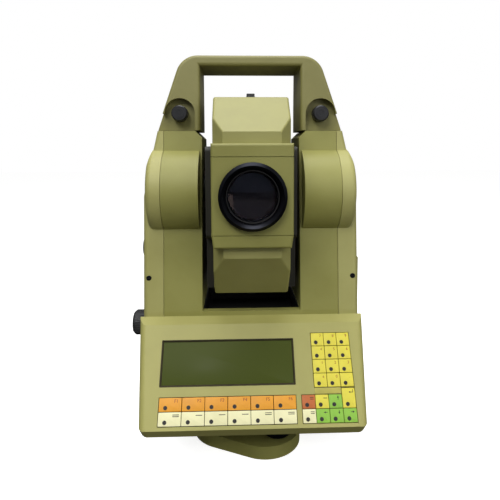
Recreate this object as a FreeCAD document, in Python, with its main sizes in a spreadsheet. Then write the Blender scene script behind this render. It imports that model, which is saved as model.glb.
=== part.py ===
"""Surveying total station on its tribrach, as a parametric FreeCAD document.

Frame: +Z up, origin at the middle of the tribrach's bottom face, on the instrument's vertical axis.
The keyboard and the objective face -Y, and the telescope tilts about a line parallel to X.
All lengths are millimetres. Every size is a cell of the spreadsheet "dims".
"""

import FreeCAD, Part
import math
import os

import Sketcher
from FreeCAD import Placement, Rotation, Vector

OUT = "parts"
doc = FreeCAD.newDocument("TotalStation")


# ---------------------------------------------------------------- sizes

class Size:
    """A number together with the spreadsheet expression that gives it."""

    def __init__(self, value, text):
        self.value = float(value)
        self.text = text

    def __add__(self, other):
        other = size(other)
        return Size(self.value + other.value, f"({self.text} + {other.text})")

    def __sub__(self, other):
        other = size(other)
        return Size(self.value - other.value, f"({self.text} - {other.text})")

    def __mul__(self, other):
        other = size(other)
        return Size(self.value * other.value, f"({self.text} * {other.text})")

    def __truediv__(self, other):
        other = size(other)
        return Size(self.value / other.value, f"({self.text} / {other.text})")

    def __neg__(self):
        return Size(-self.value, f"(-1 * {self.text})")

    def __radd__(self, other):
        return size(other) + self

    def __rsub__(self, other):
        return size(other) - self

    def __rmul__(self, other):
        return size(other) * self


def size(number):
    """The number as a Size, unchanged if it is one already."""
    if isinstance(number, Size):
        return number
    return Size(number, f"{float(number):.6f}")


def sine(angle):
    return Size(math.sin(math.radians(angle.value)), f"sin({angle.text} * 1 deg)")


def cosine(angle):
    return Size(math.cos(math.radians(angle.value)), f"cos({angle.text} * 1 deg)")


DIMENSIONS = {
    # overall heights
    "dish_height": (44, "top of the tribrach, where the instrument stands"),
    "tilt_axis_height": (240, "tilting axis above the ground plate"),
    "handle_top": (361, "top of the carrying handle"),
    "gap": (0.3, "air between pieces that move past or touch each other"),
    "running": (0.05, "radial clearance of a shaft in its bore"),
    "seam": (0.6, "visible joint line between two casings"),
    "seam_depth": (1, "depth of a joint line"),
    # tribrach
    "screw_circle": (41, "foot screw axes to the vertical axis"),
    "corner_circle": (22, "centres of the tribrach's round corners to the vertical axis"),
    "plate_corner": (34, "corner radius of the ground plate"),
    "plate_thickness": (12, "ground plate"),
    "plate_relief": (2, "depth of the relief under the ground plate"),
    "relief_radius": (33, "outside of that relief"),
    "tripod_bore": (6.75, "radius of the 5/8 inch tripod thread's core"),
    "tribrach_turn": (35, "turn of the tribrach's front corner from -Y, in degrees"),
    "ball_radius": (5, "foot screw's ball"),
    "ball_height": (7.5, "ball centre above ground"),
    "spindle_radius": (4, "foot screw's thread"),
    "screw_knob_radius": (13, "foot screw's knob"),
    "screw_knob_low": (14.5, "underside of the foot screw's knob"),
    "screw_knob_high": (30, "top of the foot screw's knob"),
    "body_low": (31.5, "underside of the tribrach's arms"),
    "body_corner": (30, "corner radius of the tribrach's arms"),
    "cup_radius": (25.5, "tribrach's middle cup"),
    "cup_low": (17, "underside of the cup"),
    "cup_bore": (16, "hole in the cup's floor"),
    "pin_circle": (24, "centring pins to the vertical axis"),
    "pin_radius": (4.5, "centring pin"),
    "pin_length": (11, "centring pin below the dish"),
    "lock_radius": (12.5, "lock knob"),
    "lock_length": (10, "lock knob"),
    "lock_shaft": (4, "lock knob's shaft radius"),
    "lock_reach": (42, "lock knob's inner face to the vertical axis"),
    "vial_radius": (8, "circular level's glass"),
    "vial_height": (6, "circular level's glass"),
    "vial_reach": (46.5, "circular level to the vertical axis"),
    # spindle and horizontal circle
    "flange_radius": (36, "instrument's foot flange"),
    "flange_thickness": (6, "instrument's foot flange"),
    "axle_radius": (11, "vertical axle"),
    "axle_top": (104, "top of the vertical axle"),
    "circle_radius": (38, "glass circle"),
    "circle_thickness": (3, "glass circle"),
    "circle_low": (55, "underside of the glass circle"),
    # yoke
    "yoke_low": (52, "underside of the yoke"),
    "tower_foot": (135, "where the towers leave the base"),
    "tower_top": (294, "joint between the towers and the handle"),
    "tower_depth_low": (46, "half depth of a tower at its foot"),
    "tower_depth_high": (29.5, "half depth of a tower at its top"),
    "tower_inner": (43.5, "inner face of a tower from the middle"),
    "seam_x": (77, "joint between the yoke and a side cover"),
    "tower_chamfer": (6, "bevel of the towers' upper inner corners"),
    "tower_wall": (9, "inner wall of a tower"),
    "casing": (4, "wall of the towers' hollows"),
    "hub_radius": (38.8, "round end of the axis housing"),
    "hub_offset": (18, "axis housing's round ends from the middle"),
    "hub_step": (2, "axis housing back from the tower's inner face"),
    "well_floor": (118, "floor of the space between the towers"),
    "well_depth": (39, "half depth of that space"),
    "bearing_outer": (19, "tilting axle's bearing"),
    "trunnion_radius": (12, "tilting axle"),
    "trunnion_end": (68, "end of the tilting axle from the middle"),
    # side covers
    "cover_x": (95.6, "outer face of a side cover"),
    "cover_bend": (236, "height where a side cover starts to lean inwards"),
    "cover_mid_x": (90.5, "outer face half way up that lean"),
    "cover_mid": (262, "height of that point"),
    "cover_top_x": (83.5, "outer face at the handle"),
    "cover_wall": (3, "wall of a side cover"),
    "cover_round": (5, "rounding of a side cover's long edges"),
    "hub_reach": (90.5, "outer end of the axis housing"),
    # handle
    "window_x": (45, "half width of the handle's opening"),
    "window_top": (351.5, "top of the handle's opening"),
    "shoulder_x": (61, "where the handle's side would meet its top, from the middle"),
    "handle_depth": (27.5, "half depth of the handle's grip"),
    "shoulder_round": (20, "rounding of the handle's shoulder"),
    "handle_edge": (3, "rounding of the handle's long edges"),
    "handle_screw_x": (63, "handle screw from the middle"),
    "handle_screw_z": (309.5, "handle screw's height"),
    "handle_screw_radius": (7, "handle screw's knob"),
    "handle_screw_length": (11, "handle screw's knob"),
    "handle_shank": (20, "handle screw's shank"),
    "recess_radius": (13.5, "recess round the handle screw"),
    "recess_depth": (8.5, "recess round the handle screw"),
    # control panel
    "panel_lean": (31.9, "panel's lean from upright, in degrees"),
    "panel_length": (80.8, "panel from its upper to its lower edge"),
    "panel_y": (54.7, "panel's upper edge in front of the axis"),
    "panel_rise": (9.3, "panel's lower edge above the housing's underside"),
    "panel_top_x": (97.9, "half width of the panel's upper edge"),
    "panel_low_x": (90.4, "half width of the panel's lower edge"),
    "panel_wall": (4, "wall of the panel housing"),
    "ledge_rise": (4.4, "housing's top at the towers above the panel's upper edge"),
    "housing_low": (48.7, "underside of the panel housing"),
    "housing_bevel": (7, "bevel under the panel's lower edge, front to back"),
    "panel_round": (6, "rounding of the panel housing's edges"),
    "recess": (1.7, "depth of the key fields"),
    "window_left": (-76.6, "display window's left edge"),
    "window_right": (35, "display window's right edge"),
    "window_high": (12.6, "display window's upper edge, down the panel"),
    "window_low": (49.4, "display window's lower edge, down the panel"),
    "window_sink": (1.5, "display window below the panel's face"),
    "window_thickness": (2.2, "display window"),
    # keys
    "key_gap": (0.45, "air between two keys"),
    "key_height": (1.1, "thickness of a key"),
    "key_proud": (0.35, "key above the panel's face"),
    "wide_key": (18.4, "pitch of the wide keys"),
    "wide_left": (-75.9, "left edge of the wide keys"),
    "wide_top": (57.0, "upper edge of the wide keys, down the panel"),
    "wide_row": (10.4, "pitch of the two wide rows"),
    "small_key": (11.0, "pitch of the small keys"),
    "small_row": (10.75, "pitch of the number rows"),
    "small_left": (50, "left edge of the number block"),
    "small_top": (8.7, "upper edge of the number block, down the panel"),
    "lower_top": (57.0, "upper edge of the cursor block, down the panel"),
    "tall_top": (52.4, "upper edge of the tall key, down the panel"),
    "side_left": (39, "left edge of the two keys beside the cursor block"),
    # rear cover
    "rear_depth": (80, "rear cover's lower edge behind the axis"),
    # drives and battery
    "drive_radius": (11, "drive knob"),
    "drive_length": (12, "drive knob"),
    "drive_shaft": (4, "drive knob's shaft radius"),
    "pan_drive_y": (-25, "horizontal drive along Y"),
    "pan_drive_z": (118.5, "horizontal drive's height"),
    "tilt_drive_y": (27, "vertical drive along Y"),
    "tilt_drive_z": (178, "vertical drive's height"),
    "battery_x": (98.3, "outer face of the battery"),
    "battery_inner": (80.5, "inner face of the battery"),
    "battery_depth": (33, "half depth of the battery"),
    "battery_low": (62, "underside of the battery"),
    "battery_high": (180, "top of the battery"),
    # telescope
    "scope_x": (33, "half width of the telescope's front block"),
    "scope_front": (81, "front of the telescope's block from the tilting axis"),
    "scope_plate": (31.4, "half height of the front plate"),
    "scope_block": (42, "half height of the front block"),
    "scope_block_back": (60, "back of the front block from the tilting axis"),
    "scope_rear": (66, "rear of the telescope's body"),
    "scope_body_x": (31, "half width of the telescope's body"),
    "scope_body_half": (40, "half height of the telescope's body"),
    "drum_x": (39.5, "half width of the telescope's middle"),
    "drum_front": (50, "front and back of that middle from the tilting axis"),
    "cheek_depth": (38, "half depth of the cheeks beside the lower cover"),
    "cheek_low": (86, "bottom of those cheeks from the tilting axis"),
    "band_x": (31.5, "half width of the front block at its underside"),
    "tube_bore": (21.5, "light path through the telescope"),
    "cover_side_x": (32.5, "half width of a telescope cover"),
    "cover_nose_x": (23, "half width of a telescope cover's front"),
    "cover_nose_y": (74, "telescope cover's front"),
    "cover_nose_z": (51.5, "telescope cover's front, upper edge"),
    "top_ridge_y": (44, "telescope's top ridge from the tilting axis"),
    "top_ridge_z": (82.2, "telescope's top from the tilting axis"),
    "low_ridge_z": (89.5, "telescope's bottom from the tilting axis"),
    "scope_wall": (3, "wall of the telescope's covers"),
    "ring_outer": (27.2, "objective ring"),
    "ring_inner": (21.8, "objective ring's opening"),
    "ring_front": (89, "objective ring's front from the tilting axis"),
    "lens_thickness": (6, "objective lens at its middle"),
    "lens_edge": (3.5, "objective lens at its rim"),
    "focus_outer": (20, "focusing ring"),
    "focus_length": (14, "focusing ring"),
    "eyepiece_outer": (12.5, "eyepiece"),
    "eyepiece_length": (17, "eyepiece beyond the focusing ring"),
    "eyepiece_bore": (5, "eyepiece's opening"),
}


class Dimensions:
    """The cells of the spreadsheet, each read as an attribute that is a Size."""


def fill_sheet(table):
    """Writes the table to the spreadsheet and gives its cells as one object of Sizes."""
    sheet = doc.addObject("Spreadsheet::Sheet", "dims")
    cells = Dimensions()
    for row, (alias, (value, note)) in enumerate(table.items(), start=1):
        sheet.set(f"A{row}", note)
        sheet.set(f"B{row}", str(value))
        sheet.setAlias(f"B{row}", alias)
        setattr(cells, alias, Size(value, f"dims.{alias}"))
    doc.recompute()
    return cells


d = fill_sheet(DIMENSIONS)


# ---------------------------------------------------------------- building blocks

TURNS = {
    "X": Rotation(Vector(0, 1, 0), 90),
    "Y": Rotation(Vector(1, 0, 0), -90),
    "Z": Rotation(),
}


def bind(obj, name, amount):
    """Sets a property of obj from a Size and keeps it bound to the spreadsheet."""
    amount = size(amount)
    obj.setExpression(name, amount.text)


def move(obj, x=0, y=0, z=0):
    for axis, amount in (("x", x), ("y", y), ("z", z)):
        bind(obj, f"Placement.Base.{axis}", amount)


def box(name, x, y, z):
    """A block between two Sizes along each axis."""
    obj = doc.addObject("Part::Box", name)
    for side, (low, high) in (("Length", x), ("Width", y), ("Height", z)):
        bind(obj, side, size(high) - low)
    move(obj, x[0], y[0], z[0])
    return obj


def cylinder(name, radius, low, high, axis="Z", at=(0, 0)):
    """A cylinder along an axis from low to high; at gives its place on the other two axes in order."""
    obj = doc.addObject("Part::Cylinder", name)
    bind(obj, "Radius", radius)
    bind(obj, "Height", size(high) - low)
    place = {"X": (low, at[0], at[1]), "Y": (at[0], low, at[1]), "Z": (at[0], at[1], low)}[axis]
    obj.Placement = Placement(Vector(), TURNS[axis])
    move(obj, *place)
    return obj


def fuse(name, *solids):
    obj = doc.addObject("Part::MultiFuse", name)
    obj.Shapes = list(solids)
    obj.Refine = True
    return obj


def cut(name, base, *tools):
    obj = doc.addObject("Part::Cut", name)
    obj.Base = base
    obj.Tool = tools[0] if len(tools) == 1 else fuse(name + "_tools", *tools)
    obj.Refine = True
    return obj


def common(name, first, second):
    obj = doc.addObject("Part::Common", name)
    obj.Base = first
    obj.Tool = second
    obj.Refine = True
    return obj


def mirror_x(name, source):
    """The source mirrored to the other side of the YZ plane."""
    obj = doc.addObject("Part::Mirroring", name)
    obj.Source = source
    obj.Normal = Vector(1, 0, 0)
    return obj


def origin_plane(body, role):
    return next(f for f in body.Origin.OriginFeatures if f.Role == role)


def outline(body, name, role, points, offset=0):
    """A closed sketch on one of the body's origin planes, each corner bound to its two Sizes."""
    sketch = body.newObject("Sketcher::SketchObject", name)
    sketch.AttachmentSupport = (origin_plane(body, role), [""])
    sketch.MapMode = "FlatFace"
    bind(sketch, "AttachmentOffset.Base.z", offset)
    corners = [(size(u), size(v)) for u, v in points]
    spots = [Vector(u.value, v.value, 0) for u, v in corners]
    for number, spot in enumerate(spots):
        sketch.addGeometry(Part.LineSegment(spot, spots[(number + 1) % len(spots)]), False)
    for number in range(len(spots)):
        following = (number + 1) % len(spots)
        sketch.addConstraint(Sketcher.Constraint("Coincident", number, 2, following, 1))
    for number, (u, v) in enumerate(corners):
        for kind, amount in (("DistanceX", u), ("DistanceY", v)):
            rule = Sketcher.Constraint(kind, -1, 1, number, 1, amount.value)
            index = sketch.addConstraint(rule)
            sketch.setExpression(f"Constraints[{index}]", amount.text)
    return sketch


def prism(name, role, points, low, high):
    """A body padded from an outline. On XZ_Plane low and high are along Y, on YZ_Plane along X."""
    low, high = size(low), size(high)
    body = doc.addObject("PartDesign::Body", name)
    start = -high if role == "XZ_Plane" else low
    sketch = outline(body, name + "_outline", role, points, start)
    pad = body.newObject("PartDesign::Pad", name + "_pad")
    pad.Profile = sketch
    bind(pad, "Length", high - low)
    body.Tip = pad
    return body


def block(name, x, y, z):
    """A block made as a body, for edges that are to be rounded."""
    return prism(name, "XY_Plane", [(x[0], y[0]), (x[1], y[0]), (x[1], y[1]), (x[0], y[1])], *z)


def turned(name, points):
    """A body of revolution about Z from (radius, height) corners."""
    body = doc.addObject("PartDesign::Body", name)
    sketch = outline(body, name + "_outline", "XZ_Plane", points)
    spin = body.newObject("PartDesign::Revolution", name + "_spin")
    spin.Profile = sketch
    spin.ReferenceAxis = (sketch, ["V_Axis"])
    spin.Angle = 360
    body.Tip = spin
    return body


def point_along(body, axis, x=0, y=0, z=0):
    """Turns a body that was made about Z to lie along another axis, and moves it."""
    body.Placement = Placement(Vector(), TURNS[axis])
    move(body, x, y, z)
    return body


def rounded(name, base, radius, wanted):
    """A body on the given solid with the wanted edges filleted by a bound radius."""
    doc.recompute()
    body = doc.addObject("PartDesign::Body", name)
    body.BaseFeature = base
    doc.recompute()
    source = body.Tip or body.Group[0]
    names = [
        f"Edge{number}" for number, edge in enumerate(source.Shape.Edges, start=1) if wanted(edge)
    ]
    if not names:
        raise ValueError(f"{name}: no edge to round")
    fillet = body.newObject("PartDesign::Fillet", name + "_round")
    fillet.Base = (source, names)
    bind(fillet, "Radius", radius)
    body.Tip = fillet
    return body


def middle(edge):
    return edge.valueAt((edge.FirstParameter + edge.LastParameter) / 2)


def along(edge, axis):
    """True if the edge is a straight line parallel to that axis."""
    if edge.Curve.TypeId != "Part::GeomLine":
        return False
    start, end = edge.Vertexes[0].Point, edge.Vertexes[-1].Point
    return (end - start).normalize().isEqual(axis, 1e-4) or (start - end).normalize().isEqual(axis, 1e-4)


ACROSS, DEEP, UP = Vector(1, 0, 0), Vector(0, 1, 0), Vector(0, 0, 1)
TILT = d.tilt_axis_height
parts = {}


def together(name, *objects):
    """Several touching solids kept as one sub-part, each of them simple."""
    group = doc.addObject("Part::Compound", name)
    group.Links = list(objects)
    return group


def keep(name, obj):
    """Notes an object as a finished sub-part under its own label."""
    obj.Label = name
    parts[name] = obj
    return obj


# ---------------------------------------------------------------- tribrach

def polar(reach, degrees):
    """Place at a distance from the vertical axis; degrees are counted from the tribrach's front corner."""
    angle = d.tribrach_turn + degrees - 90
    return reach * cosine(angle), reach * sine(angle)


CORNERS = (0, 120, 240)
LOCK_AT = 60
LEVEL_AT = 180


def rounded_triangle(name, corner, low, high):
    """A plate with three round corners."""
    reach = d.corner_circle + corner * 2
    body = prism(name + "_sharp", "XY_Plane", [polar(reach, a) for a in CORNERS], low, high)
    return rounded(name, body, corner, lambda edge: along(edge, UP))


def tribrach_base_plate():
    plate = rounded_triangle("ground_plate", d.plate_corner, 0, d.plate_thickness)
    sockets = [
        cylinder(f"socket_{n}", d.ball_radius + d.running, d.ball_height - d.ball_radius - d.running,
                 d.plate_thickness + d.gap, at=polar(d.screw_circle, a))
        for n, a in enumerate(CORNERS)
    ]
    bore = cylinder("tripod_bore_tool", d.tripod_bore, -d.gap, d.plate_thickness + d.gap)
    relief = cut(
        "ring_relief",
        cylinder("relief_outer", d.relief_radius, -d.gap, d.plate_relief),
        cylinder("relief_inner", d.tripod_bore * 2.2, -d.gap * 2, d.plate_relief + d.gap),
    )
    keep("tribrach_base_plate", cut("base_plate_cut", plate, bore, relief, *sockets))


def foot_screws():
    """Three screws: a ball in the ground plate, a knob and a thread in the tribrach's arm."""
    neck = d.spindle_radius * 0.75
    top = d.dish_height - d.gap
    chamfer = 1.5
    profile = [
        (0, d.screw_knob_low - 2), (neck, d.screw_knob_low - 2), (neck, d.screw_knob_low),
        (d.screw_knob_radius - chamfer, d.screw_knob_low),
        (d.screw_knob_radius, d.screw_knob_low + chamfer),
        (d.screw_knob_radius, d.screw_knob_high - chamfer),
        (d.screw_knob_radius - chamfer, d.screw_knob_high),
        (d.spindle_radius, d.screw_knob_high), (d.spindle_radius, top), (0, top),
    ]
    for letter, angle in zip("abc", CORNERS):
        name = f"foot_screw_{letter}"
        body = turned(name + "_turned", profile)
        ball = doc.addObject("Part::Sphere", name + "_ball")
        bind(ball, "Radius", d.ball_radius)
        move(ball, 0, 0, d.ball_height)
        neck_rod = cylinder(name + "_neck", neck, d.ball_height, d.screw_knob_low - 1)
        screw = fuse(name + "_screw", body, ball, neck_rod)
        move(screw, *polar(d.screw_circle, angle), 0)
        keep(name, screw)


def tribrach_body():
    """Upper casting: three arms, the cup, the seat of the lock shaft and the level's boss."""
    arms = rounded_triangle("arms", d.body_corner, d.body_low, d.dish_height)
    cup = cylinder("cup", d.cup_radius, d.cup_low, d.dish_height)
    boss = cylinder("level_boss", d.vial_radius + 2.5, d.body_low - 4, d.dish_height,
                    at=polar(d.vial_reach, LEVEL_AT))
    casting = fuse("tribrach_casting", arms, cup, boss)
    threads = [
        cylinder(f"arm_thread_{n}", d.spindle_radius + d.running, d.body_low - d.gap,
                 d.dish_height + d.gap,
                 at=polar(d.screw_circle, a))
        for n, a in enumerate(CORNERS)
    ]
    pin_holes = [
        cylinder(f"pin_hole_{n}", d.pin_radius + d.gap, d.dish_height - d.pin_length - 1,
                 d.dish_height + d.gap, at=polar(d.pin_circle, a))
        for n, a in enumerate(CORNERS)
    ]
    floor_hole = cylinder("cup_hole", d.cup_bore, d.cup_low - d.gap, d.dish_height + d.gap)
    vial_seat = cylinder("vial_seat", d.vial_radius + d.gap, d.dish_height - d.vial_height,
                         d.dish_height + d.gap, at=polar(d.vial_reach, LEVEL_AT))
    lock_bore = cylinder("lock_bore", d.lock_shaft + d.running, d.cup_bore, d.lock_reach + 2, axis="X")
    turn_to_radius(lock_bore, LOCK_AT, d.cup_bore, lock_height())
    keep("tribrach_body", cut("tribrach_body_cut", casting, floor_hole, vial_seat, lock_bore,
                              *threads, *pin_holes))


def lock_height():
    return d.body_low - d.lock_shaft + 1


def turn_to_radius(obj, degrees, reach, height):
    """Points an object made along +X outwards from the vertical axis, in the tribrach's own directions."""
    angle = d.tribrach_turn + degrees - 90
    across = Rotation(Vector(0, 0, 1), angle.value)
    obj.Placement = Placement(Vector(), across.multiply(obj.Placement.Rotation))
    move(obj, reach * cosine(angle), reach * sine(angle), height)


def tribrach_lock_knob():
    """Round knob with a raised bar, on a radial shaft that works the clamp in the cup."""
    reach = d.lock_length + 5
    profile = [
        (0, d.cup_bore - d.lock_reach + 3), (d.lock_shaft, d.cup_bore - d.lock_reach + 3),
        (d.lock_shaft, 0), (d.lock_radius - 1, 0), (d.lock_radius, 1),
        (d.lock_radius, d.lock_length - 2), (d.lock_radius - 2, d.lock_length), (0, d.lock_length),
    ]
    disc = turned("lock_disc", profile)
    bar = box("lock_bar", (-d.lock_radius + 2.5, d.lock_radius - 2.5), (-3, 3),
              (d.lock_length - 1, reach))
    knob = fuse("lock_knob", disc, bar)
    knob.Placement = Placement(Vector(), TURNS["X"])
    turn_to_radius(knob, LOCK_AT, d.lock_reach, lock_height())
    keep("tribrach_lock_knob", knob)


def circular_level():
    low = d.dish_height - d.vial_height
    glass = cylinder("vial", d.vial_radius, low, d.dish_height + 0.6, at=polar(d.vial_reach, LEVEL_AT))
    keep("circular_level", glass)


# ---------------------------------------------------------------- vertical axis

def vertical_spindle():
    """Foot flange with three centring pins, and the axle that the alidade turns on."""
    flange_top = d.dish_height + d.flange_thickness
    step = d.axle_radius + 5
    profile = [
        (0, d.dish_height), (d.flange_radius, d.dish_height), (d.flange_radius, flange_top - 1),
        (d.flange_radius - 1, flange_top), (step, flange_top), (step, d.circle_low),
        (d.axle_radius, d.circle_low), (d.axle_radius, d.axle_top - 1),
        (d.axle_radius - 1, d.axle_top), (0, d.axle_top),
    ]
    axle = turned("axle", profile)
    pins = [
        cylinder(f"centring_pin_{n}", d.pin_radius, d.dish_height - d.pin_length, d.dish_height + 1,
                 at=polar(d.pin_circle, a))
        for n, a in enumerate(CORNERS)
    ]
    keep("vertical_spindle", fuse("spindle", axle, *pins))


def horizontal_circle():
    disc = cylinder("circle_disc", d.circle_radius, d.circle_low, d.circle_low + d.circle_thickness)
    hole = cylinder("circle_hole", d.axle_radius + d.running, d.circle_low - 1,
                    d.circle_low + d.circle_thickness + 1)
    keep("horizontal_circle", cut("circle_cut", disc, hole))


# ---------------------------------------------------------------- yoke

def tower_profile(inset=0, low=None, high=None):
    """Side view of the towers and their base, as (y, z) corners, shrunk all round by inset."""
    low = d.yoke_low if low is None else low
    high = d.tower_top if high is None else high
    foot, head = d.tower_depth_low - inset, d.tower_depth_high - inset
    return [(-foot, low), (foot, low), (foot, d.tower_foot), (head, high), (-head, high),
            (-foot, d.tower_foot)]


def hub(name, low, high, inset=0):
    """The axis housing: two round ends and the block between them, along X."""
    radius = d.hub_radius - inset
    ends = [
        cylinder(f"{name}_end_{n}", radius, low, high, axis="X", at=(side * d.hub_offset, TILT))
        for n, side in enumerate((-1, 1))
    ]
    block = box(name + "_block", (low, high), (-d.hub_offset, d.hub_offset),
                (TILT - radius, TILT + radius))
    return fuse(name, *ends, block)


def side_of(x_low, x_high):
    """A pair of X limits on the right side and the same on the left."""
    return (x_low, x_high), (-x_high, -x_low)


def yoke_casting():
    """U-shaped frame: the base with the vertical bearing, and two hollow towers for the tilting axis."""
    blank = prism("yoke_blank", "YZ_Plane", tower_profile(), -d.seam_x, d.seam_x)
    hubs = [
        hub(f"yoke_hub_{n}", *limits)
        for n, limits in enumerate(side_of(d.tower_inner + d.hub_step, d.seam_x))
    ]
    half = [
        (d.tower_inner, d.tower_foot), (d.tower_inner, d.tower_top - d.tower_chamfer),
        (d.tower_inner + d.tower_chamfer, d.tower_top),
        (d.tower_inner + d.tower_chamfer, d.tower_top + 1),
    ]
    gap = prism("tower_gap", "XZ_Plane", half + [(-x, z) for x, z in reversed(half)],
                -d.hub_radius * 2, d.hub_radius * 2)
    shell = cut("yoke_shell", fuse("yoke_solid", blank, *hubs), gap)
    well = box("well", (-d.tower_inner + 1, d.tower_inner - 1), (-d.well_depth, d.well_depth),
               (d.well_floor, d.tower_foot + 1))
    hollow_low = d.tower_foot + 8
    wall_inner = d.tower_inner + d.tower_wall
    hollows = [
        prism(f"tower_hollow_{n}", "YZ_Plane",
              tower_profile(d.casing, hollow_low - 40, d.tower_top - d.casing), *limits)
        for n, limits in enumerate(side_of(wall_inner, d.seam_x + 1))
    ]
    hub_hollows = [
        hub(f"hub_hollow_{n}", *limits, inset=d.casing)
        for n, limits in enumerate(side_of(wall_inner, d.seam_x + 1))
    ]
    bearing_seat = cylinder("bearing_seat", d.bearing_outer, -d.seam_x, d.seam_x, axis="X",
                            at=(0, TILT))
    circle_room = cylinder("circle_room", d.circle_radius + 4, d.yoke_low - 1,
                           d.circle_low + d.circle_thickness + 6)
    axle_bore = cylinder("axle_bore", d.axle_radius + d.running, d.yoke_low, d.axle_top + 4)
    rooms = [fuse(f"tower_room_{n}", *pair) for n, pair in enumerate(zip(hollows, hub_hollows))]
    casting = cut("yoke_cut", shell, well, bearing_seat, circle_room, axle_bore, *rooms)
    wide, deep = d.seam_x + 1, d.hub_radius * 2
    base = common("yoke_base", casting,
                  box("base_limits", (-wide, wide), (-deep, deep), (0, d.tower_foot)))
    towers = [
        common(f"yoke_tower_{n}", casting,
               box(f"tower_limits_{n}", limits, (-deep, deep), (d.tower_foot, TILT * 2)))
        for n, limits in enumerate(side_of(d.tower_inner - 1, wide))
    ]
    keep("yoke_casting", together("yoke_parts", base, *towers))


def trunnion_bearings():
    """Two rings in the towers that carry the tilting axle."""
    rings = []
    for n, (low, high) in enumerate(side_of(d.tower_inner + 0.5, d.tower_inner + d.tower_wall)):
        outer = cylinder(f"bearing_outer_{n}", d.bearing_outer, low, high, axis="X", at=(0, TILT))
        inner = cylinder(f"bearing_inner_{n}", d.trunnion_radius + d.running, low - 1, high + 1,
                         axis="X", at=(0, TILT))
        rings.append(cut(f"bearing_ring_{n}", outer, inner))
    keep("trunnion_bearings", fuse("bearing_pair", *rings))


# ---------------------------------------------------------------- casings

def cover_outline(inset=0):
    """Front view of a side cover, as (x, z) corners, its outside shrunk by inset."""
    inner = d.seam_x - 2
    return [
        (inner, d.yoke_low + inset), (d.cover_x - inset, d.yoke_low + inset),
        (d.cover_x - inset, d.cover_bend),
        (d.cover_mid_x - inset, d.cover_mid), (d.cover_top_x - inset, d.tower_top - inset),
        (inner, d.tower_top - inset),
    ]


def cover_solid(name, start, inset=0):
    """A side cover's tower and its axis housing; with an inset they are the hollows inside it."""
    depth = d.tower_depth_low + d.hub_radius
    views = [prism(f"{name}_front_view_{n}", "XZ_Plane", cover_outline(inset), -depth,
                   depth) for n in range(2)]
    side_view = prism(name + "_side_view", "YZ_Plane", tower_profile(inset), start, d.cover_x + 1)
    tower = common(name + "_tower", views[0], side_view)
    axis_housing = hub(name + "_hub", start, d.hub_reach - inset, inset)
    return tower, axis_housing, views[1]


def cover_lip(depth):
    """The cover's rim that meets the yoke, set back from the outside so that a joint line shows."""
    tower = prism("lip_tower", "YZ_Plane", tower_profile(depth), d.seam_x, d.seam_x + d.seam + 1)
    return fuse("lip", tower, hub("lip_hub", d.seam_x, d.seam_x + d.seam + 1, depth))


def is_cover_long_edge(edge):
    """The outer edges of a side cover, front and back, where its side meets its faces."""
    spot = middle(edge)
    return spot.x > d.seam_x.value + 3 and abs(spot.y) > d.tower_depth_high.value - 1 \
        and abs(edge.tangentAt(edge.FirstParameter).x) < 0.75 and edge.Length > 12


def is_hub_rim(edge):
    """The outer rim of the axis housing."""
    return middle(edge).x > d.hub_reach.value - 0.01


def cover_shell():
    """Moulded shell over the outside of the right-hand tower."""
    tower, axis_housing, view = cover_solid("cover", d.seam_x + d.seam)
    soft_tower = rounded("cover_soft", tower, d.cover_round, is_cover_long_edge)
    soft_hub = rounded("cover_hub_soft", axis_housing, d.cover_round, is_hub_rim)
    outer = fuse("cover_outer", soft_tower, common("cover_hub_trim", soft_hub, view),
                 cover_lip(d.seam_depth))
    tower, axis_housing, view = cover_solid("cover_room", d.seam_x - 1, d.cover_wall)
    return cut("cover_shell", outer, tower, common("cover_room_hub_trim", axis_housing, view))


def side_covers():
    shell = cover_shell()
    axle_x = (d.cover_x - 8, d.cover_x + 8)
    drive_holes = [
        cylinder(f"drive_hole_{n}", d.drive_shaft + d.running, *axle_x, axis="X", at=(y, z))
        for n, (y, z) in enumerate(((d.pan_drive_y, d.pan_drive_z), (d.tilt_drive_y, d.tilt_drive_z)))
    ]
    keep("left_side_cover", mirror_x("left_cover_mirror", cut("left_cover_cut", shell, *drive_holes)))
    slot = box("battery_slot", (d.battery_inner - d.gap, d.battery_x + 1),
               (-d.battery_depth - d.gap, d.battery_depth + d.gap),
               (d.battery_low - d.gap, d.battery_high + d.gap))
    keep("right_side_cover", cut("right_cover_cut", shell, slot))


def battery_pack():
    pack = block("battery_block", (d.battery_inner, d.battery_x), (-d.battery_depth, d.battery_depth),
                 (d.battery_low, d.battery_high))
    soft = rounded("battery_soft", pack, 2.5,
                   lambda e: middle(e).x > d.battery_x.value - 1 and e.Length > 20)
    pull = box("battery_pull", (d.battery_x - 4, d.battery_x + 1), (-14, 14),
               (d.battery_high - 16, d.battery_high - 8))
    keep("battery_pack", cut("battery_cut", soft, pull))


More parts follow.
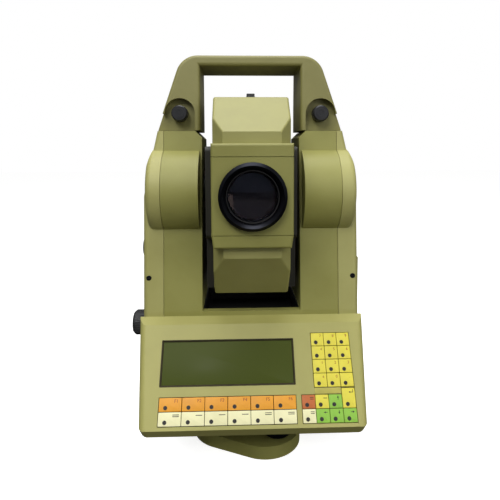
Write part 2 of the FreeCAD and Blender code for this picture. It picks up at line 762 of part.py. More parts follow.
def carry_handle():
    """Arch over the telescope, with a recess for each of its two screws."""
    low = d.tower_top + d.seam
    half = [
        (d.window_x, low), (d.cover_top_x, low), (d.shoulder_x, d.handle_top),
    ]
    left = [(-x, z) for x, z in reversed(half)]
    window = [(-d.window_x, d.window_top), (d.window_x, d.window_top)]
    depth = d.tower_depth_high
    arch = prism("arch", "XZ_Plane", half + left + window, -depth, depth)
    soft = rounded("arch_shoulders", arch, d.shoulder_round,
                   lambda e: along(e, DEEP) and middle(e).z > d.handle_top.value - 1)
    top = d.handle_top + 1
    side = [
        (-depth, low - 1), (depth, low - 1), (depth, d.handle_screw_z + 8),
        (d.handle_depth, top), (-d.handle_depth, top), (-depth, d.handle_screw_z + 8),
    ]
    trimmed = common("arch_trim", soft,
                     prism("arch_side_view", "YZ_Plane", side, -d.cover_top_x, d.cover_top_x))
    eased = rounded("arch_eased", trimmed, d.handle_edge, is_handle_edge)
    face = -d.tower_depth_high
    tools = []
    for n, sign in enumerate((-1, 1)):
        spot = (sign * d.handle_screw_x, d.handle_screw_z)
        tools.append(cylinder(f"recess_round_{n}", d.recess_radius, face - 1, face + d.recess_depth,
                              axis="Y", at=spot))
        inner = d.handle_screw_x + d.recess_radius * -1
        limits = side_of(inner, d.cover_top_x + 1)[1 - n]
        tools.append(box(f"recess_low_{n}", limits, (face - 1, face + d.recess_depth),
                         (low - 1, d.handle_screw_z)))
        tools.append(cylinder(f"screw_bore_{n}", handle_shank() + d.running, face,
                              face + d.recess_depth + d.handle_shank + 2, axis="Y", at=spot))
    pads = [
        box(f"handle_pad_{n}", limits, (-depth + d.recess_depth + 1, depth - 2), (d.tower_top, low + 1))
        for n, limits in enumerate(side_of(d.tower_inner + d.tower_chamfer + 2, d.seam_x - 2))
    ]
    eased = fuse("handle_with_pads", eased, *pads)
    keep("carry_handle", cut("handle_cut", eased, *tools))


def handle_shank():
    return d.handle_screw_radius * 0.45


def is_handle_edge(edge):
    """The grip's long edges and the outer edges of the posts, front and back."""
    spot = middle(edge)
    long_enough = edge.Length > 8
    at_face = abs(spot.y) > d.handle_depth.value - 0.5
    return long_enough and at_face and not along(edge, ACROSS) or (
        along(edge, ACROSS) and at_face and spot.z > d.window_top.value - 1)


def handle_screws():
    face = -d.tower_depth_high + d.recess_depth - d.gap
    shank = handle_shank()
    length = d.handle_screw_length
    reach = -d.handle_shank
    profile = [
        (0, reach), (shank, reach), (shank, 0), (d.handle_screw_radius, 0),
        (d.handle_screw_radius, length - 1),
        (d.handle_screw_radius - 1, length), (0, length),
    ]
    for name, sign in (("handle_screw_left", -1), ("handle_screw_right", 1)):
        screw = turned(name + "_turned", profile)
        screw.Placement = Placement(Vector(), Rotation(Vector(1, 0, 0), 90))
        move(screw, sign * d.handle_screw_x, face, d.handle_screw_z)
        keep(name, screw)


# ---------------------------------------------------------------- control panel

def panel_top():
    """Height of the panel's upper edge."""
    return d.housing_low + d.panel_rise + d.panel_length * cosine(d.panel_lean)


def ledge():
    """Height of the housing's top at the towers."""
    return panel_top() + d.ledge_rise


def on_panel(down, out=0):
    """(y, z) of a point so far down the panel from its upper edge and so far out of its face."""
    y = -d.panel_y - down * sine(d.panel_lean) - out * cosine(d.panel_lean)
    z = panel_top() - down * cosine(d.panel_lean) + out * sine(d.panel_lean)
    return y, z


def panel_block(name, x, down, out):
    """A block in the panel's own directions: across, down the panel and out of its face."""
    obj = doc.addObject("Part::Box", name)
    bind(obj, "Length", size(x[1]) - x[0])
    bind(obj, "Width", size(out[1]) - out[0])
    bind(obj, "Height", size(down[1]) - down[0])
    obj.Placement = Placement(Vector(), Rotation(Vector(1, 0, 0), -d.panel_lean.value))
    y, z = on_panel(size(down[1]), size(out[1]))
    move(obj, x[0], y, z)
    return obj


def housing_profile(inset=0):
    """Side view of the panel housing, as (y, z) corners."""
    low_y, low_z = on_panel(d.panel_length - inset * 0.5, -inset)
    top_y, top_z = on_panel(size(inset * 0.6), -inset)
    return [
        (-d.tower_depth_low, d.housing_low + inset), (low_y + d.housing_bevel, d.housing_low + inset),
        (low_y, low_z), (top_y, top_z), (-d.tower_depth_low, ledge() - inset),
    ]


def housing_front(inset=0):
    """Front view of the panel housing, as (x, z) corners, narrower at the bottom."""
    top, low = d.panel_top_x - inset, d.panel_low_x - inset
    return [(-low, d.housing_low - 1), (low, d.housing_low - 1), (top, ledge() + 1),
            (-top, ledge() + 1)]


def housing_solid(name, inset=0):
    reach = d.panel_y + d.panel_length
    side = prism(name + "_side_view", "YZ_Plane", housing_profile(inset), -d.panel_top_x - 1,
                 d.panel_top_x + 1)
    front = prism(name + "_front_view", "XZ_Plane", housing_front(inset), -reach, 0)
    return common(name, side, front)


class KeyField:
    """One key: its name, its left edge and its upper edge on the panel, and its pitch both ways."""

    def __init__(self, name, left, top, width, height):
        self.name = name
        self.left = left
        self.top = top
        self.width = width
        self.height = height


def key_fields():
    """Every key of the panel: six function keys over six white keys, a number block and a cursor block."""
    fields = []
    for n in range(6):
        left = d.wide_left + d.wide_key * n
        fields.append(KeyField(f"key_function_{n + 1}", left, d.wide_top, d.wide_key, d.wide_row))
        fields.append(KeyField(f"key_command_{n + 1}", left, d.wide_top + d.wide_row, d.wide_key,
                               d.wide_row))
    for row in range(4):
        for column in range(3):
            left = d.small_left + d.small_key * column
            top = d.small_top + d.small_row * row
            name = f"key_number_{row * 3 + column + 1}"
            fields.append(KeyField(name, left, top, d.small_key, d.small_row))
    lower = d.lower_top + d.wide_row
    fields.append(KeyField("key_escape", d.side_left, d.lower_top, d.small_key, d.wide_row))
    fields.append(KeyField("key_program", d.side_left, lower, d.small_key, d.wide_row))
    fields.append(KeyField("key_clear", d.small_left, d.lower_top, d.small_key, d.wide_row))
    fields.append(KeyField("key_cursor_up", d.small_left + d.small_key, d.lower_top, d.small_key,
                           d.wide_row))
    fields.append(KeyField("key_enter", d.small_left + d.small_key * 2, d.tall_top, d.small_key,
                           lower - d.tall_top))
    for n, name in enumerate(("key_cursor_left", "key_cursor_down", "key_cursor_right")):
        fields.append(KeyField(name, d.small_left + d.small_key * n, lower, d.small_key, d.wide_row))
    return fields


def keys():
    """A cap for each key field, held off the field's floor by its travel."""
    air = d.key_gap / 2
    for field in key_fields():
        cap = panel_block(field.name + "_cap", (field.left + air, field.left + field.width - air),
                          (field.top + air, field.top + field.height - air),
                          (d.key_proud - d.key_height, d.key_proud))
        keep(field.name, cap)


def panel_fields():
    """The sunk fields that the keys stand in."""
    edge = d.gap
    deep = (-d.recess, 2)
    low = d.wide_top + d.wide_row * 2 + edge
    right = d.small_left + d.small_key * 3 + edge
    return [
        panel_block("wide_field", (d.wide_left - edge, d.wide_left + d.wide_key * 6 + edge),
                    (d.wide_top - edge, low), deep),
        panel_block("number_field", (d.small_left - edge, right),
                    (d.small_top - edge, d.small_top + d.small_row * 4 + edge), deep),
        panel_block("cursor_field", (d.side_left - edge, right), (d.lower_top - edge, low), deep),
        panel_block("enter_field", (d.small_left + d.small_key * 2 - edge, right),
                    (d.tall_top - edge, low), deep),
    ]


def keyboard_housing():
    outer = housing_solid("housing_outer")
    soft = rounded("housing_soft", outer, d.panel_round, is_housing_edge)
    hollow = housing_solid("housing_hollow", d.panel_wall)
    back = box("housing_back", (-d.seam_x + 4, d.seam_x - 4),
               (-d.tower_depth_low - 1, -d.tower_depth_low + 1),
               (d.housing_low + d.panel_wall, ledge() - d.panel_wall))
    window = panel_block("window_hole", (d.window_left, d.window_right), (d.window_high, d.window_low),
                         (-d.panel_wall * 2, 2))
    keep("keyboard_housing", cut("housing_cut", soft, hollow, back, window, *panel_fields()))


def is_housing_edge(edge):
    """The upright outer corners of the housing's front."""
    spot = middle(edge)
    return abs(spot.x) > d.panel_low_x.value - 1 and spot.y < -d.tower_depth_low.value - 1 \
        and spot.z < panel_top().value - 1


def display_window():
    glass = panel_block("window_glass", (d.window_left, d.window_right), (d.window_high, d.window_low),
                        (-d.window_sink - d.window_thickness, -d.window_sink))
    keep("display_window", glass)


def rear_cover():
    """Plain cover on the side away from the keyboard."""
    back = d.tower_depth_low
    profile = [
        (back, d.housing_low), (d.rear_depth - d.housing_bevel, d.housing_low),
        (d.rear_depth, d.housing_low + d.housing_bevel), (d.panel_y + 6, panel_top()), (back, ledge()),
    ]
    inner = d.panel_wall
    hollow = [
        (back - 1, d.housing_low + inner), (d.rear_depth - inner * 1.6, d.housing_low + inner),
        (d.panel_y + 6 - inner, panel_top() - inner), (back - 1, ledge() - inner),
    ]
    reach = d.rear_depth + 10
    side = prism("rear_side_view", "YZ_Plane", profile, -d.panel_top_x - 1, d.panel_top_x + 1)
    front = prism("rear_front_view", "XZ_Plane", housing_front(), 0, reach)
    soft = rounded("rear_soft", common("rear_outer", side, front), d.panel_round, is_rear_edge)
    room = common("rear_room",
                  prism("rear_hollow_side", "YZ_Plane", hollow, -d.panel_top_x, d.panel_top_x),
                  prism("rear_hollow_front", "XZ_Plane", housing_front(d.panel_wall), 0, reach))
    keep("rear_cover", cut("rear_cut", soft, room))


def is_rear_edge(edge):
    spot = middle(edge)
    return abs(spot.x) > d.panel_low_x.value - 1 and spot.y > d.tower_depth_low.value + 1 \
        and spot.z < panel_top().value - 1


# ---------------------------------------------------------------- drives

def drive_knobs():
    """The two slow-motion knobs on the left side."""
    profile = [
        (0, -7), (d.drive_shaft, -7), (d.drive_shaft, 0), (d.drive_radius - 1, 0), (d.drive_radius, 1),
        (d.drive_radius, d.drive_length - 2), (d.drive_radius - 2, d.drive_length), (0, d.drive_length),
    ]
    places = {
        "horizontal_drive_knob": (d.pan_drive_y, d.pan_drive_z),
        "vertical_drive_knob": (d.tilt_drive_y, d.tilt_drive_z),
    }
    for name, (y, z) in places.items():
        knob = turned(name + "_turned", profile)
        knob.Placement = Placement(Vector(), Rotation(Vector(0, 1, 0), -90))
        move(knob, -d.cover_x - d.gap, y, z)
        keep(name, knob)


# ---------------------------------------------------------------- telescope

def telescope_body():
    """Front block, body and the two stubs of the tilting axle, bored for the light path."""
    half = [(d.band_x, TILT - d.scope_block), (d.scope_x, TILT - d.scope_plate),
            (d.scope_x, TILT + d.scope_block)]
    head = prism("scope_block", "XZ_Plane", half + [(-x, z) for x, z in reversed(half)],
                 -d.scope_front, -d.scope_block_back)
    plate = rounded("scope_block_soft", head, 2,
                    lambda e: middle(e).y < -d.scope_front.value + 1)
    body = block("scope_box", (-d.scope_body_x, d.scope_body_x),
                 (-d.scope_block_back - 1, d.scope_rear),
               (TILT - d.scope_body_half, TILT + d.scope_body_half))
    eased = rounded("scope_box_soft", body, 6,
                    lambda e: middle(e).y > d.scope_rear.value - 1)
    axle = cylinder("tilting_axle", d.trunnion_radius, -d.trunnion_end, d.trunnion_end, axis="X",
                    at=(0, TILT))
    collar = cylinder("tilting_collar", d.bearing_outer, -d.tower_inner + 1, d.tower_inner - 1,
                      axis="X", at=(0, TILT))
    bore = cylinder("light_path", d.tube_bore, -d.scope_front - 1, d.scope_rear - 8, axis="Y",
                    at=(0, TILT))
    eye_bore = cylinder("eye_path", d.eyepiece_outer - 1, 0, d.scope_rear + 1, axis="Y", at=(0, TILT))
    drum = block("scope_drum", (-d.drum_x, d.drum_x), (-d.drum_front, d.drum_front),
                 (TILT - d.scope_body_half, TILT + d.scope_body_half))
    soft_drum = rounded("scope_drum_soft", drum, 4, lambda e: along(e, ACROSS))
    cheeks = [
        box(f"scope_cheek_{n}", limits, (-d.cheek_depth, d.cheek_depth),
            (TILT - d.cheek_low, TILT - d.scope_body_half + 1))
        for n, limits in enumerate(side_of(d.cover_side_x, d.drum_x))
    ]
    solid = fuse("telescope_solid", plate, eased, axle, collar, soft_drum, *cheeks)
    keep("telescope_body", cut("telescope_cut", solid, bore, eye_bore, *plate_joints()))


def plate_joints():
    """Grooves above and below the front plate, round three sides of the front block."""
    depth = d.seam_depth
    grooves = []
    for n, side in enumerate((-1, 1)):
        height = (TILT + side * d.scope_plate - d.seam / 2, TILT + side * d.scope_plate + d.seam / 2)
        outside = box(f"groove_out_{n}", (-d.scope_x - 1, d.scope_x + 1),
                      (-d.scope_front - 1, -d.scope_block_back - 2),
                      height)
        inside = box(f"groove_in_{n}", (-d.scope_x + depth, d.scope_x - depth),
                     (-d.scope_front + depth, -d.scope_block_back), height)
        grooves.append(cut(f"groove_{n}", outside, inside))
    return grooves


def cover_side_view(ridge, inset=0):
    """Side view of a telescope cover as (y, z) above the body: nose, sloping front, ridge and back."""
    base = d.scope_body_half
    nose = d.cover_nose_y - inset
    front_low = d.scope_block_back - inset
    return [
        (-front_low, base), (-front_low, d.scope_block + inset), (-nose, d.scope_block + inset),
        (-nose, d.cover_nose_z - inset * 0.5), (-d.top_ridge_y + inset * 0.3, ridge - inset),
        (d.top_ridge_y - inset * 0.3, ridge - inset),
        (d.scope_rear - 2 - inset, d.cover_nose_z - inset * 0.5), (d.scope_rear - 2 - inset, base),
    ]


def cover_top_view(inset=0):
    """Plan of a telescope cover: its nose is narrower than its sides, as (x, y) corners."""
    side, nose = d.cover_side_x - inset, d.cover_nose_x - inset
    front, shoulder = -d.cover_nose_y - 1, -d.cover_nose_y + 12
    back = d.scope_rear + 1
    return [(-nose, front), (nose, front), (side, shoulder), (side, back), (-side, back),
            (-side, shoulder)]


def telescope_cover(name, ridge):
    """Upper cover in place; the lower one is the same turned over with its own ridge."""
    side = prism(name + "_side_view", "YZ_Plane", cover_side_view(ridge), -d.scope_x, d.scope_x)
    plan = prism(name + "_plan", "XY_Plane", cover_top_view(), 0, ridge + 10)
    outer = rounded(name + "_outer", common(name + "_sharp", side, plan), 2,
                    lambda e: middle(e).z > d.cover_nose_z.value + 1 and e.Length > 10)
    inner_side = prism(name + "_room_side", "YZ_Plane", cover_side_view(ridge, d.scope_wall),
                       -d.scope_x, d.scope_x)
    inner_plan = prism(name + "_room_plan", "XY_Plane", cover_top_view(d.scope_wall), 0, ridge + 10)
    return cut(name + "_shell", outer, common(name + "_room", inner_side, inner_plan))


def telescope_covers():
    upper = telescope_cover("upper_cover", d.top_ridge_z)
    move(upper, 0, 0, TILT)
    lower = telescope_cover("lower_cover", d.low_ridge_z)
    flipped = doc.addObject("Part::Mirroring", "lower_cover_flip")
    flipped.Source = lower
    flipped.Normal = Vector(0, 0, 1)
    move(flipped, 0, 0, TILT)
    pair = fuse("telescope_cover_pair", upper, flipped)
    keep("telescope_covers", pair)


def along_scope(body, y):
    """Lays a body made about Z along +Y, at the tilting axis height."""
    return point_along(body, "Y", 0, y, TILT)


def objective():
    depth = d.ring_front - d.scope_front + 5
    ring = turned("ring_turned", [
        (d.ring_inner - 2.5, 8), (d.ring_inner, 3), (d.ring_outer - 2.5, 0), (d.ring_outer, 2),
        (d.ring_outer, d.ring_front - d.scope_front),
        (d.tube_bore, d.ring_front - d.scope_front), (d.tube_bore, depth + 6),
        (d.ring_inner - 2.5, depth + 6),
    ])
    keep("objective_ring", along_scope(ring, -d.ring_front))


def objective_lens():
    rim = d.ring_inner - 2.5
    bulge = (d.lens_thickness - d.lens_edge) / 2
    body = doc.addObject("PartDesign::Body", "lens_turned")
    profile = [
        (0, 0), (rim * 0.35, bulge * 0.12), (rim * 0.7, bulge * 0.5), (rim, bulge),
        (rim, d.lens_thickness - bulge),
        (rim * 0.7, d.lens_thickness - bulge * 0.5), (rim * 0.35, d.lens_thickness - bulge * 0.12),
        (0, d.lens_thickness),
    ]
    sketch = outline(body, "lens_outline", "XZ_Plane", profile)
    spin = body.newObject("PartDesign::Revolution", "lens_spin")
    spin.Profile = sketch
    spin.ReferenceAxis = (sketch, ["V_Axis"])
    spin.Angle = 360
    body.Tip = spin
    keep("objective_lens", along_scope(body, -d.ring_front + 9))


def focus_ring():
    hub_radius = d.eyepiece_outer - 1 - d.running
    length = d.focus_length
    ring = turned("focus_turned", [
        (hub_radius - 3, -6), (hub_radius, -6), (hub_radius, 0), (d.focus_outer - 1, 0),
        (d.focus_outer, 1),
        (d.focus_outer, length - 1.5), (d.focus_outer - 1.5, length), (hub_radius - 3, length),
    ])
    keep("focus_ring", along_scope(ring, d.scope_rear + d.gap))


def eyepiece():
    bore = d.eyepiece_outer - 1 - d.running - 3 - d.running
    tail = d.focus_length + d.gap
    end = tail + d.eyepiece_length
    tube = turned("eyepiece_turned", [
        (d.eyepiece_bore, -4), (bore, -4), (bore, tail), (d.eyepiece_outer - 1, tail),
        (d.eyepiece_outer, tail + 1),
        (d.eyepiece_outer, end - 4), (d.eyepiece_outer - 3, end), (d.eyepiece_bore + 2, end),
        (d.eyepiece_bore, end - 3),
    ])
    keep("eyepiece", along_scope(tube, d.scope_rear + d.gap))


# ---------------------------------------------------------------- assembly

def build():
    for make in (
        tribrach_base_plate, foot_screws, tribrach_body, tribrach_lock_knob, circular_level,
        vertical_spindle, horizontal_circle, yoke_casting, trunnion_bearings, side_covers, battery_pack,
        carry_handle, handle_screws, keyboard_housing, display_window, keys, rear_cover, drive_knobs,
        telescope_body, telescope_covers, objective, objective_lens, focus_ring, eyepiece,
    ):
        make()
    doc.recompute()


def check():
    """Stops if an object failed, or a finished sub-part has no valid closed solid."""
    for obj in doc.Objects:
        if "Invalid" in obj.State or "Error" in obj.State:
            raise RuntimeError(f"{obj.Label} failed: {obj.State}")
    for name, obj in parts.items():
        shape = obj.Shape
        if shape.isNull() or not shape.isValid() or not shape.Solids:
            raise RuntimeError(f"{name} has no valid solid")


def export():
    os.makedirs(OUT, exist_ok=True)
    for name, obj in parts.items():
        obj.Shape.exportStep(os.path.join(OUT, name + ".step"))
        solids = obj.Shape.Solids
        print(f"{name}: {len(solids)} solid(s), {obj.Shape.Volume / 1000:.2f} cm3")


build()
check()
export()
print(f"{len(parts)} sub-parts")
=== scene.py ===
"""Visual model of a surveying total station, built round its packed design model.

The instrument faces -Y with its keyboard and its objective. Sizes in the classes are
millimetres; they become metres where a mesh is made. Every finished piece keeps its place in
its own mesh and rides on a body of the design model.
"""

from __future__ import annotations

import logging
import math
from dataclasses import dataclass, field, replace
from enum import Enum
from typing import Iterable, Sequence

import bmesh
import bpy
from mathutils import Matrix, Vector

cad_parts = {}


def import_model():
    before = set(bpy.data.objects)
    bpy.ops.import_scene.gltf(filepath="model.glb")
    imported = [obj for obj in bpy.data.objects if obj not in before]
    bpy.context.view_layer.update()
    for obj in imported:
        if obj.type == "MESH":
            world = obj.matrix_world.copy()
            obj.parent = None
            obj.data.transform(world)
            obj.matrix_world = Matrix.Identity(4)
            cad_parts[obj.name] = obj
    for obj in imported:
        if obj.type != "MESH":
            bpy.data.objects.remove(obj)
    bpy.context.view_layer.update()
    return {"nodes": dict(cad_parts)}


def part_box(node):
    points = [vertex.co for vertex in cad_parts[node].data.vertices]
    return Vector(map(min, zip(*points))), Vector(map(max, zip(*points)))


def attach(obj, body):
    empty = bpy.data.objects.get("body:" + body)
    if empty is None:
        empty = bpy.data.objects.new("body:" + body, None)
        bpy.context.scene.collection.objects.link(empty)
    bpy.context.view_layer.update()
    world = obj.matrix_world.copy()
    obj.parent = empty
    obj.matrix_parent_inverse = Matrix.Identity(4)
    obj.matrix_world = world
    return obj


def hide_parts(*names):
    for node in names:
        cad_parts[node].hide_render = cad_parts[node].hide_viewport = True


LOG = logging.getLogger("total_station")
MM = 0.001
TILT_AXIS_Z = 240.0
# Radius of the flat cap in the middle of a turned solid, too small to see.
LEAST_RADIUS = 0.05


# ---------------------------------------------------------------- shader helpers


def linear(code: str, alpha: float = 1.0) -> tuple[float, float, float, float]:
    """Turns an sRGB hex code into linear colour.

    Args:
        code: six hex digits, with or without a leading #.
        alpha: opacity to append.

    Returns:
        Linear red, green, blue and alpha.
    """
    digits = code.lstrip("#")
    parts = [int(digits[i : i + 2], 16) / 255 for i in (0, 2, 4)]
    flat = [c / 12.92 if c <= 0.04045 else ((c + 0.055) / 1.055) ** 2.4 for c in parts]
    return flat[0], flat[1], flat[2], alpha


def add(
    tree: bpy.types.NodeTree,
    kind: str,
    settings: dict[str, object] | None = None,
    inputs: dict[object, object] | None = None,
) -> bpy.types.Node:
    """Adds a node with its settings, its input values and its links.

    Args:
        tree: the tree that gets the node.
        kind: the node's class name.
        settings: properties of the node.
        inputs: input name or number to a value, or to the output socket that feeds it.

    Returns:
        The new node.
    """
    made = tree.nodes.new(kind)
    for key, value in (settings or {}).items():
        setattr(made, key, value)
    for key, value in (inputs or {}).items():
        if isinstance(value, bpy.types.NodeSocket):
            tree.links.new(value, made.inputs[key])
        else:
            made.inputs[key].default_value = value
    return made


def ramp(made: bpy.types.Node, stops: Sequence[tuple[float, tuple[float, ...]]]) -> None:
    """Sets the stops of a Color Ramp node.

    Args:
        made: the Color Ramp node.
        stops: position and linear colour of each stop.
    """
    elements = made.color_ramp.elements
    while len(elements) < len(stops):
        elements.new(0.5)
    for element, (position, colour) in zip(elements, stops):
        element.position = position
        element.color = colour


@dataclass(frozen=True)
class Finish:
    """What every finish has in common.

    Attributes:
        name: the material's name.
        hex: its main colour.
        roughness: its mean roughness.
    """

    name: str
    hex: str
    roughness: float = 0.5

    def material(self) -> bpy.types.Material:
        """Returns the finish's material, made on first use."""
        found = bpy.data.materials.get(self.name)
        if found:
            return found
        made = bpy.data.materials.new(self.name)
        made.use_nodes = True
        made.node_tree.nodes.clear()
        shader = add(made.node_tree, "ShaderNodeBsdfPrincipled")
        output = add(made.node_tree, "ShaderNodeOutputMaterial")
        made.node_tree.links.new(shader.outputs["BSDF"], output.inputs["Surface"])
        shader.inputs["Roughness"].default_value = self.roughness
        shader.inputs["Base Color"].default_value = linear(self.hex)
        made.diffuse_color = linear(self.hex)
        self.dress(made.node_tree, shader)
        return made

    def dress(self, tree: bpy.types.NodeTree, shader: bpy.types.Node) -> None:
        """Adds the finish's own nodes; the plain finish has none.

        Args:
            tree: the material's tree.
            shader: its Principled shader.
        """


@dataclass(frozen=True)
class Grained(Finish):
    """A surface with a fine grain and slow changes of tone, as paint and moulded plastic have.

    Attributes:
        dark_hex: the tone in its darker patches.
        grain: size of the grain, in mm.
        depth: height of the grain, in mm.
        patch: size of the patches of tone, in mm.
        wear_hex: tone of rubbed spots.
        wear: share of the surface that is rubbed, from 0 to 1.
        painted_shade_zone: conditions that hold together where the surface gets painted shade, a
            dark tone laid on by position, each an axis, GREATER_THAN or LESS_THAN, and millimetres; X
            is taken without its sign.
        shade_hex: tone of the painted shade.
    """

    dark_hex: str = "000000"
    grain: float = 1.0
    depth: float = 0.05
    patch: float = 40.0
    wear_hex: str = "BDB78C"
    wear: float = 0.0
    painted_shade_zone: tuple[tuple[str, str, float], ...] = ()
    shade_hex: str = "0B0B0C"

    def dress(self, tree: bpy.types.NodeTree, shader: bpy.types.Node) -> None:
        """Adds the patches of tone, the rubbed spots, and the grain as bump and roughness.

        Args:
            tree: the material's tree.
            shader: its Principled shader.
        """
        place = add(tree, "ShaderNodeTexCoord").outputs["Object"]
        patches = add(
            tree, "ShaderNodeTexNoise", None,
            {"Vector": place, "Scale": 1 / (self.patch * MM), "Detail": 4.0, "Roughness": 0.6},
        )
        tones = add(tree, "ShaderNodeValToRGB", None, {"Fac": patches.outputs["Fac"]})
        ramp(tones, [(0.3, linear(self.dark_hex)), (0.62, linear(self.hex))])
        colour = tones.outputs["Color"]
        grain = add(
            tree, "ShaderNodeTexNoise", None,
            {"Vector": place, "Scale": 1 / (self.grain * MM), "Detail": 2.0},
        )
        if self.wear > 0:
            spots = add(
                tree, "ShaderNodeTexNoise", None,
                {"Vector": place, "Scale": 1 / (7 * MM), "Detail": 6.0, "Roughness": 0.7},
            )
            edge = add(tree, "ShaderNodeValToRGB", None, {"Fac": spots.outputs["Fac"]})
            level = 0.78 - 0.1 * self.wear
            ramp(edge, [(level, (0, 0, 0, 1)), (level + 0.03, (1, 1, 1, 1))])
            rubbed = add(
                tree, "ShaderNodeMix", {"data_type": "RGBA"},
                {0: edge.outputs["Color"], 6: colour, 7: linear(self.wear_hex)},
            )
            colour = rubbed.outputs[2]
        # Painted shade: the tone is darkened to shade_hex by position, where the zone's conditions hold.
        if self.painted_shade_zone:
            colour = self.paint_shade(tree, place, colour)
        tree.links.new(colour, shader.inputs["Base Color"])
        gloss = add(
            tree, "ShaderNodeMapRange", None,
            {"Value": patches.outputs["Fac"], "To Min": self.roughness - 0.06,
             "To Max": self.roughness + 0.08},
        )
        tree.links.new(gloss.outputs["Result"], shader.inputs["Roughness"])
        bump = add(
            tree, "ShaderNodeBump", None,
            {"Height": grain.outputs["Fac"], "Distance": self.depth * MM, "Strength": 0.6},
        )
        tree.links.new(bump.outputs["Normal"], shader.inputs["Normal"])

    def paint_shade(
        self, tree: bpy.types.NodeTree, place: bpy.types.NodeSocket, colour: bpy.types.NodeSocket
    ) -> bpy.types.NodeSocket:
        """Paints shade on the surface where all the finish's conditions hold: a dark tone laid on by
        position.

        Args:
            tree: the material's tree.
            place: the place on the object.
            colour: the tone elsewhere.

        Returns:
            The mixed colour.
        """
        split = add(tree, "ShaderNodeSeparateXYZ", None, {"Vector": place})
        reach = add(tree, "ShaderNodeMath", {"operation": "ABSOLUTE"}, {0: split.outputs["X"]})
        sources = {"X": reach.outputs[0], "Y": split.outputs["Y"], "Z": split.outputs["Z"]}
        share: object = 1.0
        for axis, operation, limit in self.painted_shade_zone:
            test = add(
                tree, "ShaderNodeMath", {"operation": operation}, {0: sources[axis], 1: limit * MM},
            )
            both = add(
                tree, "ShaderNodeMath", {"operation": "MULTIPLY"}, {0: test.outputs[0], 1: share},
            )
            share = both.outputs[0]
        mixed = add(
            tree, "ShaderNodeMix", {"data_type": "RGBA"}, {0: share, 6: colour, 7: linear(self.shade_hex)},
        )
        return mixed.outputs[2]


@dataclass(frozen=True)
class Lacquer(Grained):
    """Clear-coated print on silicone: smoother and finer than enamel, with small patches."""

    roughness: float = 0.45
    grain: float = 0.9
    depth: float = 0.02
    patch: float = 14.0


@dataclass(frozen=True)
class Metal(Finish):
    """A machined metal with fine turning lines round one axis.

    Attributes:
        pitch: distance between turning lines, in mm.
    """

    pitch: float = 1.2

    def dress(self, tree: bpy.types.NodeTree, shader: bpy.types.Node) -> None:
        """Makes the shader a metal and adds the turning lines.

        Args:
            tree: the material's tree.
            shader: its Principled shader.
        """
        shader.inputs["Metallic"].default_value = 1.0
        place = add(tree, "ShaderNodeTexCoord").outputs["Object"]
        stretch = add(tree, "ShaderNodeMapping", None, {"Vector": place, "Scale": (0.05, 0.05, 1.0)})
        lines = add(
            tree, "ShaderNodeTexNoise", None,
            {"Vector": stretch.outputs["Vector"], "Scale": 1 / (self.pitch * MM), "Detail": 3.0},
        )
        gloss = add(
            tree, "ShaderNodeMapRange", None,
            {"Value": lines.outputs["Fac"], "To Min": self.roughness - 0.08,
             "To Max": self.roughness + 0.1},
        )
        tree.links.new(gloss.outputs["Result"], shader.inputs["Roughness"])
        bump = add(
            tree, "ShaderNodeBump", None,
            {"Height": lines.outputs["Fac"], "Distance": 0.02 * MM, "Strength": 0.5},
        )
        tree.links.new(bump.outputs["Normal"], shader.inputs["Normal"])


@dataclass(frozen=True)
class CoatedGlass(Finish):
    """Optical glass under an anti-reflection film a fraction of a micrometre thick.

    Attributes:
        film: thickness of the film, in nanometres; it sets the colour of the reflections.
        clear: share of light that passes through.
        ior: refractive index of the glass.
    """

    film: float = 115.0
    clear: float = 0.9
    ior: float = 1.6

    def dress(self, tree: bpy.types.NodeTree, shader: bpy.types.Node) -> None:
        """Sets the glass and its film, and adds faint dust as roughness.

        Args:
            tree: the material's tree.
            shader: its Principled shader.
        """
        shader.inputs["Transmission Weight"].default_value = self.clear
        shader.inputs["IOR"].default_value = self.ior
        shader.inputs["Thin Film Thickness"].default_value = self.film
        shader.inputs["Thin Film IOR"].default_value = 1.38
        place = add(tree, "ShaderNodeTexCoord").outputs["Object"]
        dust = add(
            tree, "ShaderNodeTexNoise", None,
            {"Vector": place, "Scale": 1 / (3 * MM), "Detail": 5.0, "Roughness": 0.7},
        )
        haze = add(
            tree, "ShaderNodeMapRange", None,
            {"Value": dust.outputs["Fac"], "From Min": 0.5, "From Max": 0.8, "To Min": self.roughness,
             "To Max": self.roughness + 0.05},
        )
        tree.links.new(haze.outputs["Result"], shader.inputs["Roughness"])


